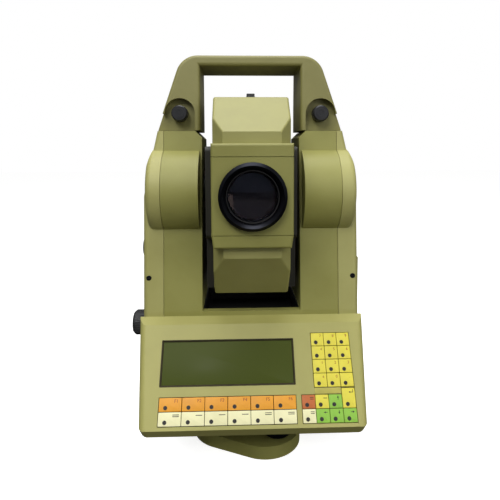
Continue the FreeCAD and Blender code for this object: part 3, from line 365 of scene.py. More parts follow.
@dataclass(frozen=True)
class LiquidCrystal(Finish):
    """The display: dark olive liquid crystal under a glossy window, with its faint dot grid.

    Attributes:
        dot: pitch of the display's dots, in mm.
        lean: how far the display leans back from upright, in degrees.
        grid_hex: tone between the dots.
        cloud_hex: tone of its slow changes.
    """

    dot: float = 1.1
    lean: float = 31.9
    grid_hex: str = "3D4618"
    cloud_hex: str = "464F17"

    def dress(self, tree: bpy.types.NodeTree, shader: bpy.types.Node) -> None:
        """Adds the dot grid, drawn coarser than the real 0.4 mm so that it shows, and the gloss.

        Args:
            tree: the material's tree.
            shader: its Principled shader.
        """
        shader.inputs["Specular IOR Level"].default_value = 0.12
        shader.inputs["Coat Weight"].default_value = 0.04
        shader.inputs["Coat Roughness"].default_value = 0.2
        place = add(tree, "ShaderNodeTexCoord").outputs["Object"]
        turned = add(
            tree, "ShaderNodeMapping", None,
            {"Vector": place, "Rotation": (math.radians(self.lean), 0.0, 0.0)},
        )
        grid = add(
            tree, "ShaderNodeTexBrick", {"offset": 0.0},
            {"Color1": linear(self.hex), "Color2": linear(self.hex), "Mortar": linear(self.grid_hex),
             "Scale": 1.0, "Mortar Size": 0.12 * self.dot * MM, "Brick Width": self.dot * MM,
             "Row Height": self.dot * MM},
        )
        flat = add(tree, "ShaderNodeSeparateXYZ", None, {"Vector": turned.outputs["Vector"]})
        upright = add(
            tree, "ShaderNodeCombineXYZ", None, {"X": flat.outputs["X"], "Y": flat.outputs["Z"]},
        )
        tree.links.new(upright.outputs["Vector"], grid.inputs["Vector"])
        slow = add(
            tree, "ShaderNodeTexNoise", None, {"Vector": place, "Scale": 1 / (60 * MM), "Detail": 1.0},
        )
        mixed = add(
            tree, "ShaderNodeMix", {"data_type": "RGBA"},
            {0: slow.outputs["Fac"], 6: grid.outputs["Color"], 7: linear(self.cloud_hex)},
        )
        tree.links.new(mixed.outputs[2], shader.inputs["Base Color"])


@dataclass(frozen=True)
class Paper(Finish):
    """White background paper that is seen white but throws little light back on the instrument.

    Attributes:
        thrown_hex: the tone that all rays but the camera's meet.
        glow: light that the camera sees in it beyond what falls on it.
    """

    thrown_hex: str = "3A3A38"
    glow: float = 0.78

    def dress(self, tree: bpy.types.NodeTree, shader: bpy.types.Node) -> None:
        """Chooses the tone by the kind of ray.

        Args:
            tree: the material's tree.
            shader: its Principled shader.
        """
        path = add(tree, "ShaderNodeLightPath")
        tone = add(
            tree, "ShaderNodeMix", {"data_type": "RGBA"},
            {0: path.outputs["Is Camera Ray"], 6: linear(self.thrown_hex), 7: linear(self.hex)},
        )
        tree.links.new(tone.outputs[2], shader.inputs["Base Color"])
        shader.inputs["Emission Color"].default_value = linear("FFFFFF")
        glow = add(
            tree, "ShaderNodeMath", {"operation": "MULTIPLY"},
            {0: path.outputs["Is Camera Ray"], 1: self.glow},
        )
        tree.links.new(glow.outputs[0], shader.inputs["Emission Strength"])


class Finishes:
    """Every finish of the instrument, each from what the real surface is, save the painted shade laid by
    position on the yoke's well and the telescope's cheeks.
    """

    # Stove enamel on die-cast aluminium: a low, even texture that breaks up the highlights.
    enamel = Grained(
        "stove_enamel_khaki", "94924F", 0.52, dark_hex="8C8A47", grain=1.4, depth=0.06, wear=0.1,
    )
    # The yoke's casting: the same enamel, with painted shade: the well under the telescope is drawn near
    # black by position.
    yoke_enamel = replace(
        enamel, name="stove_enamel_yoke",
        painted_shade_zone=(("X", "LESS_THAN", 43.3), ("Y", "GREATER_THAN", -38.8), ("Z", "LESS_THAN", 136.0)),
    )
    # Moulded ABS of the keyboard housing and handle: a little greyer and smoother than the castings.
    abs_panel = Grained(
        "moulded_abs_khaki", "A8A45F", 0.5, dark_hex="A09C58", grain=1.1, depth=0.035, patch=60,
    )
    abs_handle = Grained("moulded_abs_handle", "88844E", 0.5, dark_hex="807C46", grain=1.1, depth=0.04)
    abs_cover = Grained(
        "moulded_abs_cover", "ABA868", 0.5, dark_hex="A39F5F", grain=1.1, depth=0.04, wear=0.15,
    )
    abs_scope = Grained("moulded_abs_scope", "99965A", 0.5, dark_hex="908D52", grain=1.2, depth=0.04)
    # The telescope's casting: enamelled like the yoke, with painted shade on its cheeks: a dark olive tone
    # laid on by position beside the towers.
    scope_enamel = Grained(
        "stove_enamel_scope", "8C8A4A", 0.5, dark_hex="848242", grain=1.3, depth=0.05,
        painted_shade_zone=(("X", "GREATER_THAN", 33.3),), shade_hex="24231A",
    )
    # Anodised aluminium, dyed black: satin, with turning lines.
    anodised = Metal("anodised_black", "24252A", 0.34)
    # Black polyamide for knobs: matt, slightly greyed by handling.
    polyamide = Grained(
        "polyamide_black", "1C1D21", 0.42, dark_hex="131418", grain=0.9, depth=0.05, patch=12,
    )
    # Matt baffle paint inside the barrel: takes nearly all light. The same black fills the cover screws'
    # slots as painted shade.
    baffle = Grained("baffle_black", "0A0A0B", 0.85, dark_hex="060607", grain=0.8, depth=0.03, patch=10)
    rubber = Grained("rubber_black", "17171A", 0.7, dark_hex="101012", grain=0.8, depth=0.06, patch=15)
    steel = Metal("turned_steel", "A9A9A6", 0.3)
    brass = Metal("turned_brass", "B5975A", 0.32)
    front_glass = CoatedGlass("coated_glass_front", "F2F0FF", 0.02, film=118.0, clear=1.0, ior=1.52)
    inner_glass = CoatedGlass("coated_glass_inner", "120C24", 0.05, film=135.0, clear=0.3, ior=1.6)
    clear_glass = CoatedGlass("clear_glass", "DDF0B0", 0.03, film=0.0, clear=0.8, ior=1.5)
    display = LiquidCrystal("liquid_crystal_olive", "424B14", 0.5)
    # Silicone key caps with a printed, lacquered face.
    orange = Lacquer("key_lacquer_orange", "E49C1E", dark_hex="DA9218")
    cream = Lacquer("key_lacquer_cream", "EDE9B8", dark_hex="E2DEAC")
    yellow = Lacquer("key_lacquer_yellow", "E0D444", dark_hex="D6CA3C")
    green = Lacquer("key_lacquer_green", "8CC03E", dark_hex="80B436")
    red = Lacquer("key_lacquer_red", "C0682A", dark_hex="B45E24")
    legend_field = Lacquer("legend_lacquer", "B3AB4C", dark_hex="A8A045", patch=20.0)
    # Printing ink in the legends and the dots.
    ink = Grained("printing_ink", "1B1712", 0.5, dark_hex="14110D", grain=0.7, depth=0.01, patch=6)
    gap_yellow = Grained("key_gap_olive", "7A7330", 0.7, dark_hex="6E682A", grain=0.8, depth=0.02, patch=10)
    gap = Grained("key_gap_brown", "3A3418", 0.7, dark_hex="2E2912", grain=0.8, depth=0.02, patch=10)
    red_ink = Grained("printing_ink_red", "9A3E1A", 0.5, dark_hex="8C3414", grain=0.7, depth=0.01, patch=6)
    floor = Paper("studio_paper", "F8F8F7", 0.9)


# ---------------------------------------------------------------- mesh helpers


class Axis(Enum):
    """Directions that a turned piece can lie along; its own axis is +Z before it is placed."""

    X = Matrix.Rotation(math.radians(90), 4, "Y")
    MINUS_X = Matrix.Rotation(math.radians(-90), 4, "Y")
    Y = Matrix.Rotation(math.radians(-90), 4, "X")
    MINUS_Y = Matrix.Rotation(math.radians(90), 4, "X")
    Z = Matrix.Identity(4)


def placed(axis: Axis, x: float, y: float, z: float) -> Matrix:
    """Returns the matrix that lays a piece along an axis at a place in millimetres."""
    return Matrix.Translation(Vector((x, y, z))) @ axis.value


def finish_mesh(mesh: bpy.types.Mesh, sharp: float = 32.0) -> None:
    """Shades a mesh smooth and keeps its edges crisp where faces meet at more than an angle.

    Args:
        mesh: the mesh to shade.
        sharp: the angle in degrees.
    """
    work = bmesh.new()
    work.from_mesh(mesh)
    for face in work.faces:
        face.smooth = True
    for edge in work.edges:
        angle = edge.calc_face_angle(math.pi) if len(edge.link_faces) == 2 else math.pi
        edge.smooth = angle < math.radians(sharp)
    work.to_mesh(mesh)
    work.free()


def make_piece(
    name: str,
    work: bmesh.types.BMesh,
    finishes: Sequence[Finish],
    body: str,
    matrix: Matrix | None = None,
    sharp: float = 32.0,
) -> bpy.types.Object:
    """Turns a mesh in millimetres into a piece of the model.

    Args:
        name: the piece's name.
        work: the mesh in millimetres; it is freed.
        finishes: one for each material number used in the mesh.
        body: the body that the piece moves with.
        matrix: where the mesh goes, in millimetres.
        sharp: edges above this angle stay crisp.

    Returns:
        The new object, which rides on its body.
    """
    bmesh.ops.remove_doubles(work, verts=work.verts, dist=1e-4)
    bmesh.ops.recalc_face_normals(work, faces=work.faces)
    place = Matrix.Scale(MM, 4) @ (matrix or Matrix.Identity(4))
    bmesh.ops.transform(work, matrix=place, verts=work.verts)
    mesh = bpy.data.meshes.new(name)
    work.to_mesh(mesh)
    work.free()
    finish_mesh(mesh, sharp)
    for finish in finishes:
        mesh.materials.append(finish.material())
    made = bpy.data.objects.new(name, mesh)
    bpy.context.scene.collection.objects.link(made)
    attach(made, body)
    LOG.info("%s: %d faces on %s", name, len(mesh.polygons), body)
    return made


def loft(
    work: bmesh.types.BMesh,
    loops: Sequence[Sequence[Vector]],
    material: int = 0,
    closed: bool = False,
) -> None:
    """Joins loops of equal length with quads, and caps both ends unless the loft is a ring.

    Args:
        work: the mesh that gets the faces.
        loops: the loops in order.
        material: material number of the faces.
        closed: True joins the last loop to the first, as in a ring.
    """
    rows = [[work.verts.new(point) for point in loop] for loop in loops]
    count = len(rows[0])
    pairs = list(zip(rows, rows[1:])) + ([(rows[-1], rows[0])] if closed else [])
    faces = [
        work.faces.new((low[i], low[(i + 1) % count], high[(i + 1) % count], high[i]))
        for low, high in pairs
        for i in range(count)
    ]
    if not closed:
        faces += [work.faces.new(list(reversed(rows[0]))), work.faces.new(rows[-1])]
    for face in faces:
        face.material_index = material


def circle(radius: float, height: float, count: int = 64) -> list[Vector]:
    """Returns a circle of points about Z."""
    step = 2 * math.pi / count
    angles = [i * step for i in range(count)]
    return [Vector((radius * math.cos(a), radius * math.sin(a), height)) for a in angles]


def lathe(
    work: bmesh.types.BMesh,
    profile: Sequence[tuple[float, float]],
    material: int = 0,
    ring: bool = False,
    count: int = 64,
) -> None:
    """Turns a profile of (radius, height) points about Z.

    Args:
        work: the mesh that gets the faces.
        profile: the points; a solid starts and ends with a small flat cap.
        material: material number of the faces.
        ring: True for a profile that is a closed outline clear of the axis.
        count: points round the axis.
    """
    loft(work, [circle(radius, height, count) for radius, height in profile], material, ring)


def turned(
    name: str,
    profile: Sequence[tuple[float, float]],
    finish: Finish,
    body: str,
    place: Matrix,
    ring: bool = False,
    count: int = 64,
) -> bpy.types.Object:
    """Makes a piece from one turned profile.

    Args:
        name: the piece's name.
        profile: its (radius, height) points.
        finish: its finish.
        body: the body that it moves with.
        place: where it goes, in millimetres.
        ring: True for a closed outline clear of the axis.
        count: points round the axis.

    Returns:
        The new object.
    """
    work = bmesh.new()
    lathe(work, profile, ring=ring, count=count)
    return make_piece(name, work, [finish], body, place)


def plano_convex(radius: float, thick: float, bulge: float, steps: int) -> list[tuple[float, float]]:
    """Returns the profile of a lens with a flat back.

    Args:
        radius: its radius.
        thick: from its rim to its back.
        bulge: height of its front's middle over its rim.
        steps: points from its middle to its rim.

    Returns:
        The (radius, height) points from the back to the front.
    """
    front = [
        (max(radius * i / steps, LEAST_RADIUS), bulge * (1 - (i / steps) ** 2)) for i in range(steps + 1)
    ]
    return [(LEAST_RADIUS, -thick), (radius, -thick)] + list(reversed(front))


def rounded_rectangle(
    x: tuple[float, float],
    y: tuple[float, float],
    z: float,
    corner: float,
    inset: float = 0.0,
    steps: int = 5,
) -> list[Vector]:
    """Returns the outline of a rectangle with round corners.

    Args:
        x: left and right side.
        y: lower and upper side.
        z: height of the outline.
        corner: corner radius.
        inset: how far the outline is drawn in.
        steps: points in each corner.

    Returns:
        Its points, anticlockwise.
    """
    left, right, low, high = x[0] + inset, x[1] - inset, y[0] + inset, y[1] - inset
    radius = max(corner - inset, 0.02)
    centres = (
        (right - radius, high - radius, 0), (left + radius, high - radius, 90),
        (left + radius, low + radius, 180), (right - radius, low + radius, 270),
    )
    points = []
    for cx, cy, start in centres:
        for i in range(steps):
            angle = math.radians(start + 90 * i / (steps - 1))
            points.append(Vector((cx + radius * math.cos(angle), cy + radius * math.sin(angle), z)))
    return points


def slab(
    work: bmesh.types.BMesh,
    x: tuple[float, float],
    y: tuple[float, float],
    z: tuple[float, float],
    corner: float,
    ease: float,
    material: int = 0,
) -> None:
    """Adds a plate with round corners and an eased upper edge.

    Args:
        work: the mesh that gets the plate.
        x: left and right side.
        y: lower and upper side.
        z: underside and top.
        corner: corner radius.
        ease: radius of the upper edge.
        material: material number.
    """
    outlines = [rounded_rectangle(x, y, z[0], corner)]
    for i in range(4):
        angle = math.radians(30 * i)
        inset = ease * (1 - math.cos(angle))
        outlines.append(rounded_rectangle(x, y, z[1] - ease + ease * math.sin(angle), corner, inset))
    loft(work, outlines, material)


def flat_shape(
    work: bmesh.types.BMesh,
    outline: Iterable[tuple[float, float]],
    z: float,
    material: int,
    thick: float = 0.04,
) -> None:
    """Adds a thin printed shape, as a shallow prism that stands on a surface.

    Args:
        work: the mesh that gets the shape.
        outline: its corners, anticlockwise.
        z: height of the surface that it is printed on.
        material: material number.
        thick: thickness of the print.
    """
    points = list(outline)
    loft(
        work,
        [[Vector((x, y, z - 0.02)) for x, y in points], [Vector((x, y, z + thick)) for x, y in points]],
        material,
    )


def disc_outline(x: float, y: float, radius: float, count: int = 20) -> list[tuple[float, float]]:
    """Returns a circle of (x, y) corners."""
    step = 2 * math.pi / count
    angles = [i * step for i in range(count)]
    return [(x + radius * math.cos(a), y + radius * math.sin(a)) for a in angles]


def add_text(
    work: bmesh.types.BMesh, text: str, x: float, y: float, z: float, height: float, material: int
) -> None:
    """Adds printed figures, centred on a point.

    Args:
        work: the mesh that gets the figures.
        text: the figures.
        x: middle of the figures across.
        y: middle of the figures upwards.
        z: height of the printed surface.
        height: height of a figure.
        material: material number.
    """
    curve = bpy.data.curves.new("figures", "FONT")
    curve.body = text
    curve.size = height * 1.35
    curve.align_x = "CENTER"
    curve.align_y = "CENTER"
    curve.extrude = 0.03
    holder = bpy.data.objects.new("figures", curve)
    bpy.context.scene.collection.objects.link(holder)
    bpy.context.view_layer.update()
    graph = bpy.context.evaluated_depsgraph_get()
    mesh = bpy.data.meshes.new_from_object(holder.evaluated_get(graph))
    mesh.transform(Matrix.Translation(Vector((x, y, z + 0.02))))
    before = len(work.faces)
    work.from_mesh(mesh)
    work.faces.ensure_lookup_table()
    for face in work.faces[before:]:
        face.material_index = material
    bpy.data.objects.remove(holder)
    bpy.data.curves.remove(curve)
    bpy.data.meshes.remove(mesh)


# ---------------------------------------------------------------- node-built repeats


class RepeatTree:
    """Geometry Nodes that set copies of a small shape round a circle or along a line."""

    def __init__(self, name: str) -> None:
        """Starts an empty tree with a geometry output."""
        self.tree = bpy.data.node_groups.new(name, "GeometryNodeTree")
        self.tree.interface.new_socket("Geometry", in_out="OUTPUT", socket_type="NodeSocketGeometry")
        self.entry: bpy.types.Node | None = None

    def sockets(self, kinds: dict[str, str]) -> None:
        """Adds the named inputs, each with its kind, before the first of them is read."""
        for name, kind in {**kinds, "Material": "Material"}.items():
            self.tree.interface.new_socket(name, in_out="INPUT", socket_type="NodeSocket" + kind)

    def read(self, name: str) -> bpy.types.NodeSocket:
        """Returns the socket that gives an input's value."""
        if self.entry is None:
            self.entry = self.tree.nodes.new("NodeGroupInput")
        return self.entry.outputs[name]

    def close(self, geometry: bpy.types.NodeSocket) -> None:
        """Realizes the copies, sets their material and ends the tree."""
        real = add(self.tree, "GeometryNodeRealizeInstances", None, {0: geometry})
        dressed = add(
            self.tree, "GeometryNodeSetMaterial", None,
            {"Geometry": real.outputs[0], "Material": self.read("Material")},
        )
        output = self.tree.nodes.new("NodeGroupOutput")
        self.tree.links.new(dressed.outputs[0], output.inputs[0])

    def bake(
        self, name: str, values: dict[str, object], body: str, matrix: Matrix, finish: Finish
    ) -> bpy.types.Object:
        """Runs the tree and keeps its result as a plain mesh.

        Args:
            name: the piece's name.
            values: input name to value.
            body: the body that the piece moves with.
            matrix: where the piece goes, in millimetres.
            finish: its finish.

        Returns:
            The new object.
        """
        holder = bpy.data.objects.new(name + "_source", bpy.data.meshes.new(name + "_source"))
        bpy.context.scene.collection.objects.link(holder)
        modifier = holder.modifiers.new("repeat", "NODES")
        modifier.node_group = self.tree
        identifiers = {
            item.name: item.identifier
            for item in self.tree.interface.items_tree
            if item.item_type == "SOCKET" and item.in_out == "INPUT"
        }
        for key, value in {**values, "Material": finish.material()}.items():
            modifier[identifiers[key]] = value
        bpy.context.view_layer.update()
        graph = bpy.context.evaluated_depsgraph_get()
        mesh = bpy.data.meshes.new_from_object(holder.evaluated_get(graph))
        bpy.data.objects.remove(holder)
        work = bmesh.new()
        work.from_mesh(mesh)
        bpy.data.meshes.remove(mesh)
        return make_piece(name, work, [finish], body, matrix)


def rib_tree() -> RepeatTree:
    """Builds the tree for a knob's grip: half-round ribs that stand along the axis in a circle.

    Returns:
        The finished tree.
    """
    made = RepeatTree("ribbed_grip")
    made.sockets(
        {"Count": "Int", "Radius": "Float", "Length": "Float", "Rib Radius": "Float", "Middle": "Float"}
    )
    ring = add(
        made.tree, "GeometryNodeMeshCircle", None,
        {"Vertices": made.read("Count"), "Radius": made.read("Radius")},
    )
    rib = add(
        made.tree, "GeometryNodeMeshCylinder", None,
        {"Vertices": 8, "Radius": made.read("Rib Radius"), "Depth": made.read("Length")},
    )
    copies = add(
        made.tree, "GeometryNodeInstanceOnPoints", None,
        {"Points": ring.outputs[0], "Instance": rib.outputs[0]},
    )
    lift = add(made.tree, "ShaderNodeCombineXYZ", None, {"Z": made.read("Middle")})
    moved = add(
        made.tree, "GeometryNodeTransform", None,
        {"Geometry": copies.outputs[0], "Translation": lift.outputs[0]},
    )
    made.close(moved.outputs[0])
    return made


def ring_tree() -> RepeatTree:
    """Builds the tree for stray-light baffles: thin rings set one behind another.

    Returns:
        The finished tree.
    """
    made = RepeatTree("baffle_rings")
    made.sockets({"Count": "Int", "Radius": "Float", "Spacing": "Float", "Thickness": "Float"})
    step = add(made.tree, "ShaderNodeCombineXYZ", None, {"Z": made.read("Spacing")})
    line = add(
        made.tree, "GeometryNodeMeshLine", None, {"Count": made.read("Count"), "Offset": step.outputs[0]},
    )
    path, wire = (
        add(
            made.tree, "GeometryNodeCurvePrimitiveCircle", None,
            {"Resolution": resolution, "Radius": made.read(name)},
        )
        for resolution, name in ((64, "Radius"), (8, "Thickness"))
    )
    tube = add(
        made.tree, "GeometryNodeCurveToMesh", None,
        {"Curve": path.outputs[0], "Profile Curve": wire.outputs[0]},
    )
    copies = add(
        made.tree, "GeometryNodeInstanceOnPoints", None,
        {"Points": line.outputs[0], "Instance": tube.outputs[0]},
    )
    made.close(copies.outputs[0])
    return made


@dataclass
class Repeats:
    """The trees for what repeats, built once."""

    ribs: RepeatTree = field(default_factory=rib_tree)
    rings: RepeatTree = field(default_factory=ring_tree)

    def grip(
        self,
        body: str,
        matrix: Matrix,
        radius: float,
        span: tuple[float, float],
        count: int,
        rib: float,
        finish: Finish,
    ) -> bpy.types.Object:
        """Adds a ribbed grip round a knob.

        Args:
            body: the body it moves with.
            matrix: the knob's place; ribs stand along its Z.
            radius: radius of the circle that the ribs stand on.
            span: where the ribs start and end along Z.
            count: number of ribs.
            rib: radius of a rib.
            finish: its finish.

        Returns:
            The new object.
        """
        values = {
            "Count": count, "Radius": radius, "Length": span[1] - span[0], "Rib Radius": rib,
            "Middle": (span[0] + span[1]) / 2,
        }
        return self.ribs.bake(body + "_grip", values, body, matrix, finish)


# ---------------------------------------------------------------- casings


@dataclass
class Casings:
    """The castings and moulded covers, and the small screws in them.

    Attributes:
        nodes: the design nodes' objects by name.
        node_finishes: each finish with the design nodes that have it.
        cover_screw: place of the right-hand cover's front screw, in mm.
        cover_screw_radius: radius of its head.
    """

    nodes: dict[str, bpy.types.Object]
    node_finishes: tuple[tuple[Finish, str], ...] = (
        (Finishes.yoke_enamel, "yoke_casting"),
        (Finishes.abs_cover, "left_side_cover right_side_cover battery_pack"),
        (Finishes.abs_handle, "carry_handle"),
        (Finishes.abs_panel, "keyboard_housing rear_cover"),
        (Finishes.scope_enamel, "telescope_body"),
        (Finishes.abs_scope, "telescope_covers"),
        (Finishes.brass, "trunnion_bearings"),
        (Finishes.steel, "vertical_spindle"),
        (Finishes.clear_glass, "horizontal_circle circular_level"),
        (Finishes.enamel, "tribrach_base_plate tribrach_body"),
        (Finishes.anodised, "foot_screw_a foot_screw_b foot_screw_c objective_ring"),
        (Finishes.polyamide, "tribrach_lock_knob horizontal_drive_knob vertical_drive_knob"),
        (Finishes.polyamide, "handle_screw_left handle_screw_right focus_ring eyepiece"),
    )
    cover_screw: tuple[float, float, float] = (90.4, -42.4, 164.5)
    cover_screw_radius: float = 2.4

    def dress(self) -> None:
        """Gives each carried-over node its finish."""
        for finish, names in self.node_finishes:
            for name in names.split():
                node = self.nodes[name]
                node.data.materials.clear()
                node.data.materials.append(finish.material())
                LOG.info("%s finished as %s", name, finish.name)

    def screws(self) -> None:
        """Adds the slotted screws in the side covers, front and back."""
        x, y, z = self.cover_screw
        for side in (-1, 1):
            for face in (-1, 1):
                work = bmesh.new()
                radius = self.cover_screw_radius
                profile = [(0.3, -1.0), (radius, -1.0), (radius, 0.5), (radius - 0.4, 0.9), (0.3, 0.9)]
                lathe(work, profile, count=24)
                # The slot is a thin raised bar of matt black: painted shade of the groove.
                slab(work, (-radius + 0.5, radius - 0.5), (-0.35, 0.35), (0.6, 1.0), 0.1, 0.05, 1)
                end = "front" if face < 0 else "back"
                name = f"cover_screw_{'left' if side < 0 else 'right'}_{end}"
                axis = Axis.MINUS_Y if face < 0 else Axis.Y
                make_piece(
                    name, work, [Finishes.anodised, Finishes.baffle], "alidade",
                    placed(axis, side * x, -face * y, z),
                )

    def build(self) -> None:
        """Dresses the casings and adds their screws."""
        self.dress()
        self.screws()


# ---------------------------------------------------------------- keyboard


class Legend(Enum):
    """What is printed on a key beside its dot."""

    NONE = 0
    FIGURE = 1
    BAR = 2
    DOUBLE_BAR = 3
    ARROW = 4
    RETURN = 5


@dataclass(frozen=True)
class KeyStyle:
    """How a key looks.

    Attributes:
        finish: its lacquer.
        legend: the kind of print.
        text: the figures, for a figure legend.
        turn: direction of an arrow, in degrees from +X.
        ink: finish of the print.
    """

    finish: Finish
    legend: Legend = Legend.NONE
    text: str = ""
    turn: float = 0.0
    ink: Finish = Finishes.ink


def key_styles() -> dict[str, KeyStyle]:
    """Lists the style of every key.

    Returns:
        Each key's style by its design node's name.
    """
    styles: dict[str, KeyStyle] = {}
    bar, double = Legend.BAR, Legend.DOUBLE_BAR
    marks = (double, bar, bar, bar, double, double)
    for number in range(1, 7):
        styles[f"key_function_{number}"] = KeyStyle(
            Finishes.orange, Legend.FIGURE, f"F{number}", ink=Finishes.red_ink
        )
        styles[f"key_command_{number}"] = KeyStyle(Finishes.cream, marks[number - 1])
    for number, figure in enumerate("789456123±0.", start=1):
        styles[f"key_number_{number}"] = KeyStyle(
            Finishes.yellow, Legend.FIGURE, figure, ink=Finishes.red_ink
        )
    styles["key_escape"] = KeyStyle(Finishes.red, double)
    styles["key_program"] = KeyStyle(Finishes.cream, double)
    styles["key_clear"] = KeyStyle(Finishes.yellow, bar)
    styles["key_enter"] = KeyStyle(Finishes.yellow, Legend.RETURN)
    for turn, way in ((90, "up"), (180, "left"), (270, "down"), (0, "right")):
        styles["key_cursor_" + way] = KeyStyle(Finishes.green, Legend.ARROW, turn=turn)
    return styles


@dataclass
class Keyboard:
    """The sloping panel: keys, their fields, the display and its frame.

    Attributes:
        lean: the panel's lean from upright, in degrees.
        top_y: its upper edge along Y.
        top_z: its upper edge's height.
        key_rise: a key's top over the panel's face.
        key_thick: thickness of a key.
        corner: corner radius of a key.
        ease: radius of a key's upper edge.
        dot: radius of the dot on a key.
        wide_from: width from which a key has the wide layout.
        field_floor: underside of the membranes from the panel's face.
        window: the display's left, right, lower and upper side.
        window_depth: depth of its face under the panel's.
    """

    lean: float = 31.9
    top_y: float = -54.7
    top_z: float = 126.6
    key_rise: float = 0.35
    key_thick: float = 1.1
    corner: float = 0.45
    ease: float = 0.2
    dot: float = 1.6
    wide_from: float = 14.0
    field_floor: float = -1.7
    window: tuple[float, float, float, float] = (-76.6, 35.0, -49.4, -12.6)
    window_depth: float = 1.5

    def frame(self) -> Matrix:
        """Finds the panel's frame.

        Returns:
            X across, Y up the panel, Z out of its face.
        """
        angle = math.radians(self.lean)
        rows = (
            (1, 0, 0, 0),
            (0, math.sin(angle), -math.cos(angle), self.top_y),
            (0, math.cos(angle), math.sin(angle), self.top_z),
            (0, 0, 0, 1),
        )
        return Matrix(rows)

    def on_panel(self, node: str) -> tuple[tuple[float, float], tuple[float, float]]:
        """Finds a key's place from its node's own box.

        Args:
            node: the key's design node.

        Returns:
            Its sides across the panel, and up it.
        """
        low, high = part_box(node)
        centre = self.frame().inverted() @ ((low + high) / 2 / MM)
        width = (high.x - low.x) / MM
        angle = math.radians(self.lean)
        height = ((high.z - low.z) / MM - self.key_thick * math.sin(angle)) / math.cos(angle)
        across = (centre.x - width / 2, centre.x + width / 2)
        return across, (centre.y - height / 2, centre.y + height / 2)

    def print_legend(
        self, work: bmesh.types.BMesh, style: KeyStyle, x: tuple[float, float], y: tuple[float, float]
    ) -> None:
        """Prints a key's legend near its upper right corner.

        Args:
            work: the key's mesh.
            style: the key's style.
            x: its sides across the panel.
            y: its sides up the panel.
        """
        top = self.key_rise
        wide = x[1] - x[0] > self.wide_from
        cx, cy = x[1] - (4.2 if wide else 2.6), y[1] - 2.5
        if style.legend is Legend.FIGURE:
            add_text(work, style.text, cx, cy, top, 2.6 if wide else 2.3, 2)
        elif style.legend in (Legend.BAR, Legend.DOUBLE_BAR):
            reach = 2.6 if wide else 1.5
            rows = (0.0,) if style.legend is Legend.BAR else (0.6, -0.6)
            for offset in rows:
                low, high = cy + offset - 0.25, cy + offset + 0.25
                left, right = cx - reach, cx + reach
                flat_shape(work, [(left, low), (right, low), (right, high), (left, high)], top, 2)
        elif style.legend is Legend.ARROW:
            self.arrow(work, cx - 0.6, cy, 1.5, style.turn)
        elif style.legend is Legend.RETURN:
            self.arrow(work, cx - 1.2, cy - 0.6, 1.0, 180)
            hook = ((0, -0.8), (1.2, -0.8), (1.2, 1.4), (0.8, 1.4), (0.8, -0.4), (0, -0.4))
            flat_shape(work, [(cx + px, cy + py) for px, py in hook], top, 2)

    def arrow(self, work: bmesh.types.BMesh, x: float, y: float, reach: float, turn: float) -> None:
        """Prints a filled arrow head with a short tail.

        Args:
            work: the key's mesh.
            x: middle of the arrow across.
            y: its middle upwards.
            reach: half its length.
            turn: where it points, in degrees from +X.
        """
        angle = math.radians(turn)
        shape = [(-reach, -0.22), (0, -0.22), (0, -0.8), (reach, 0), (0, 0.8), (0, 0.22), (-reach, 0.22)]
        cos, sin = math.cos(angle), math.sin(angle)
        points = [(x + px * cos - py * sin, y + px * sin + py * cos) for px, py in shape]
        flat_shape(work, points, self.key_rise, 2)

    def keys(self) -> None:
        """Builds every key with its dot and its legend, in place of its design node."""
        for node, style in key_styles().items():
            x, y = self.on_panel(node)
            work = bmesh.new()
            slab(work, x, y, (self.key_rise - self.key_thick, self.key_rise), self.corner, self.ease)
            dot_x = x[0] + (5.2 if x[1] - x[0] > self.wide_from else 3.9)
            flat_shape(work, disc_outline(dot_x, y[0] + 2.7, self.dot), self.key_rise, 1)
            self.print_legend(work, style, x, y)
            finishes = [style.finish, Finishes.ink, style.ink]
            made = make_piece(node + "_cap", work, finishes, node, self.frame())
            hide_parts(node)

    def fields(self) -> None:
        """Lays the dark membrane under the keys and the plain legend strip over the cursor block."""
        floors = {
            "wide_key_membrane": ((-76.0, 34.6), (-78.0, -56.9)),
            "number_key_membrane": ((49.8, 83.2), (-51.9, -8.5)),
            "cursor_key_membrane": ((38.9, 83.2), (-78.0, -56.9)),
            "enter_key_membrane": ((71.8, 83.2), (-57.5, -52.3)),
        }
        for name, (x, y) in floors.items():
            work = bmesh.new()
            slab(work, x, y, (self.field_floor + 0.02, self.field_floor + 0.35), 0.3, 0.05)
            finish = Finishes.gap if name.startswith("wide") else Finishes.gap_yellow
            make_piece(name, work, [finish], "alidade", self.frame())
        work = bmesh.new()
        slab(work, (50.1, 71.4), (-56.5, -52.3), (-0.05, 0.18), 0.3, 0.08)
        make_piece("legend_strip", work, [Finishes.legend_field], "alidade", self.frame())

    def display(self) -> None:
        """Builds the display's face and the dark gasket round it, in place of the plain window."""
        left, right, low, high = self.window
        floor = -self.window_depth
        work = bmesh.new()
        across, up = (left + 0.05, right - 0.05), (low + 0.05, high - 0.05)
        slab(work, across, up, (floor - 2.2, floor), 0.8, 0.1)
        face = make_piece("display_face", work, [Finishes.display], "alidade", self.frame())
        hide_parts("display_window")
        work = bmesh.new()
        section = ((floor - 0.2, 0.02), (-0.15, 0.02), (-0.15, 0.6), (floor + 0.3, 1.5), (floor - 0.2, 1.7))
        loops = [rounded_rectangle((left, right), (low, high), z, 1.0, inset) for z, inset in section]
        loft(work, loops, closed=True)
        make_piece("display_gasket", work, [Finishes.gap], "alidade", self.frame())

    def build(self) -> None:
        """Builds the whole panel."""
        self.keys()
        self.fields()
        self.display()


# ---------------------------------------------------------------- telescope


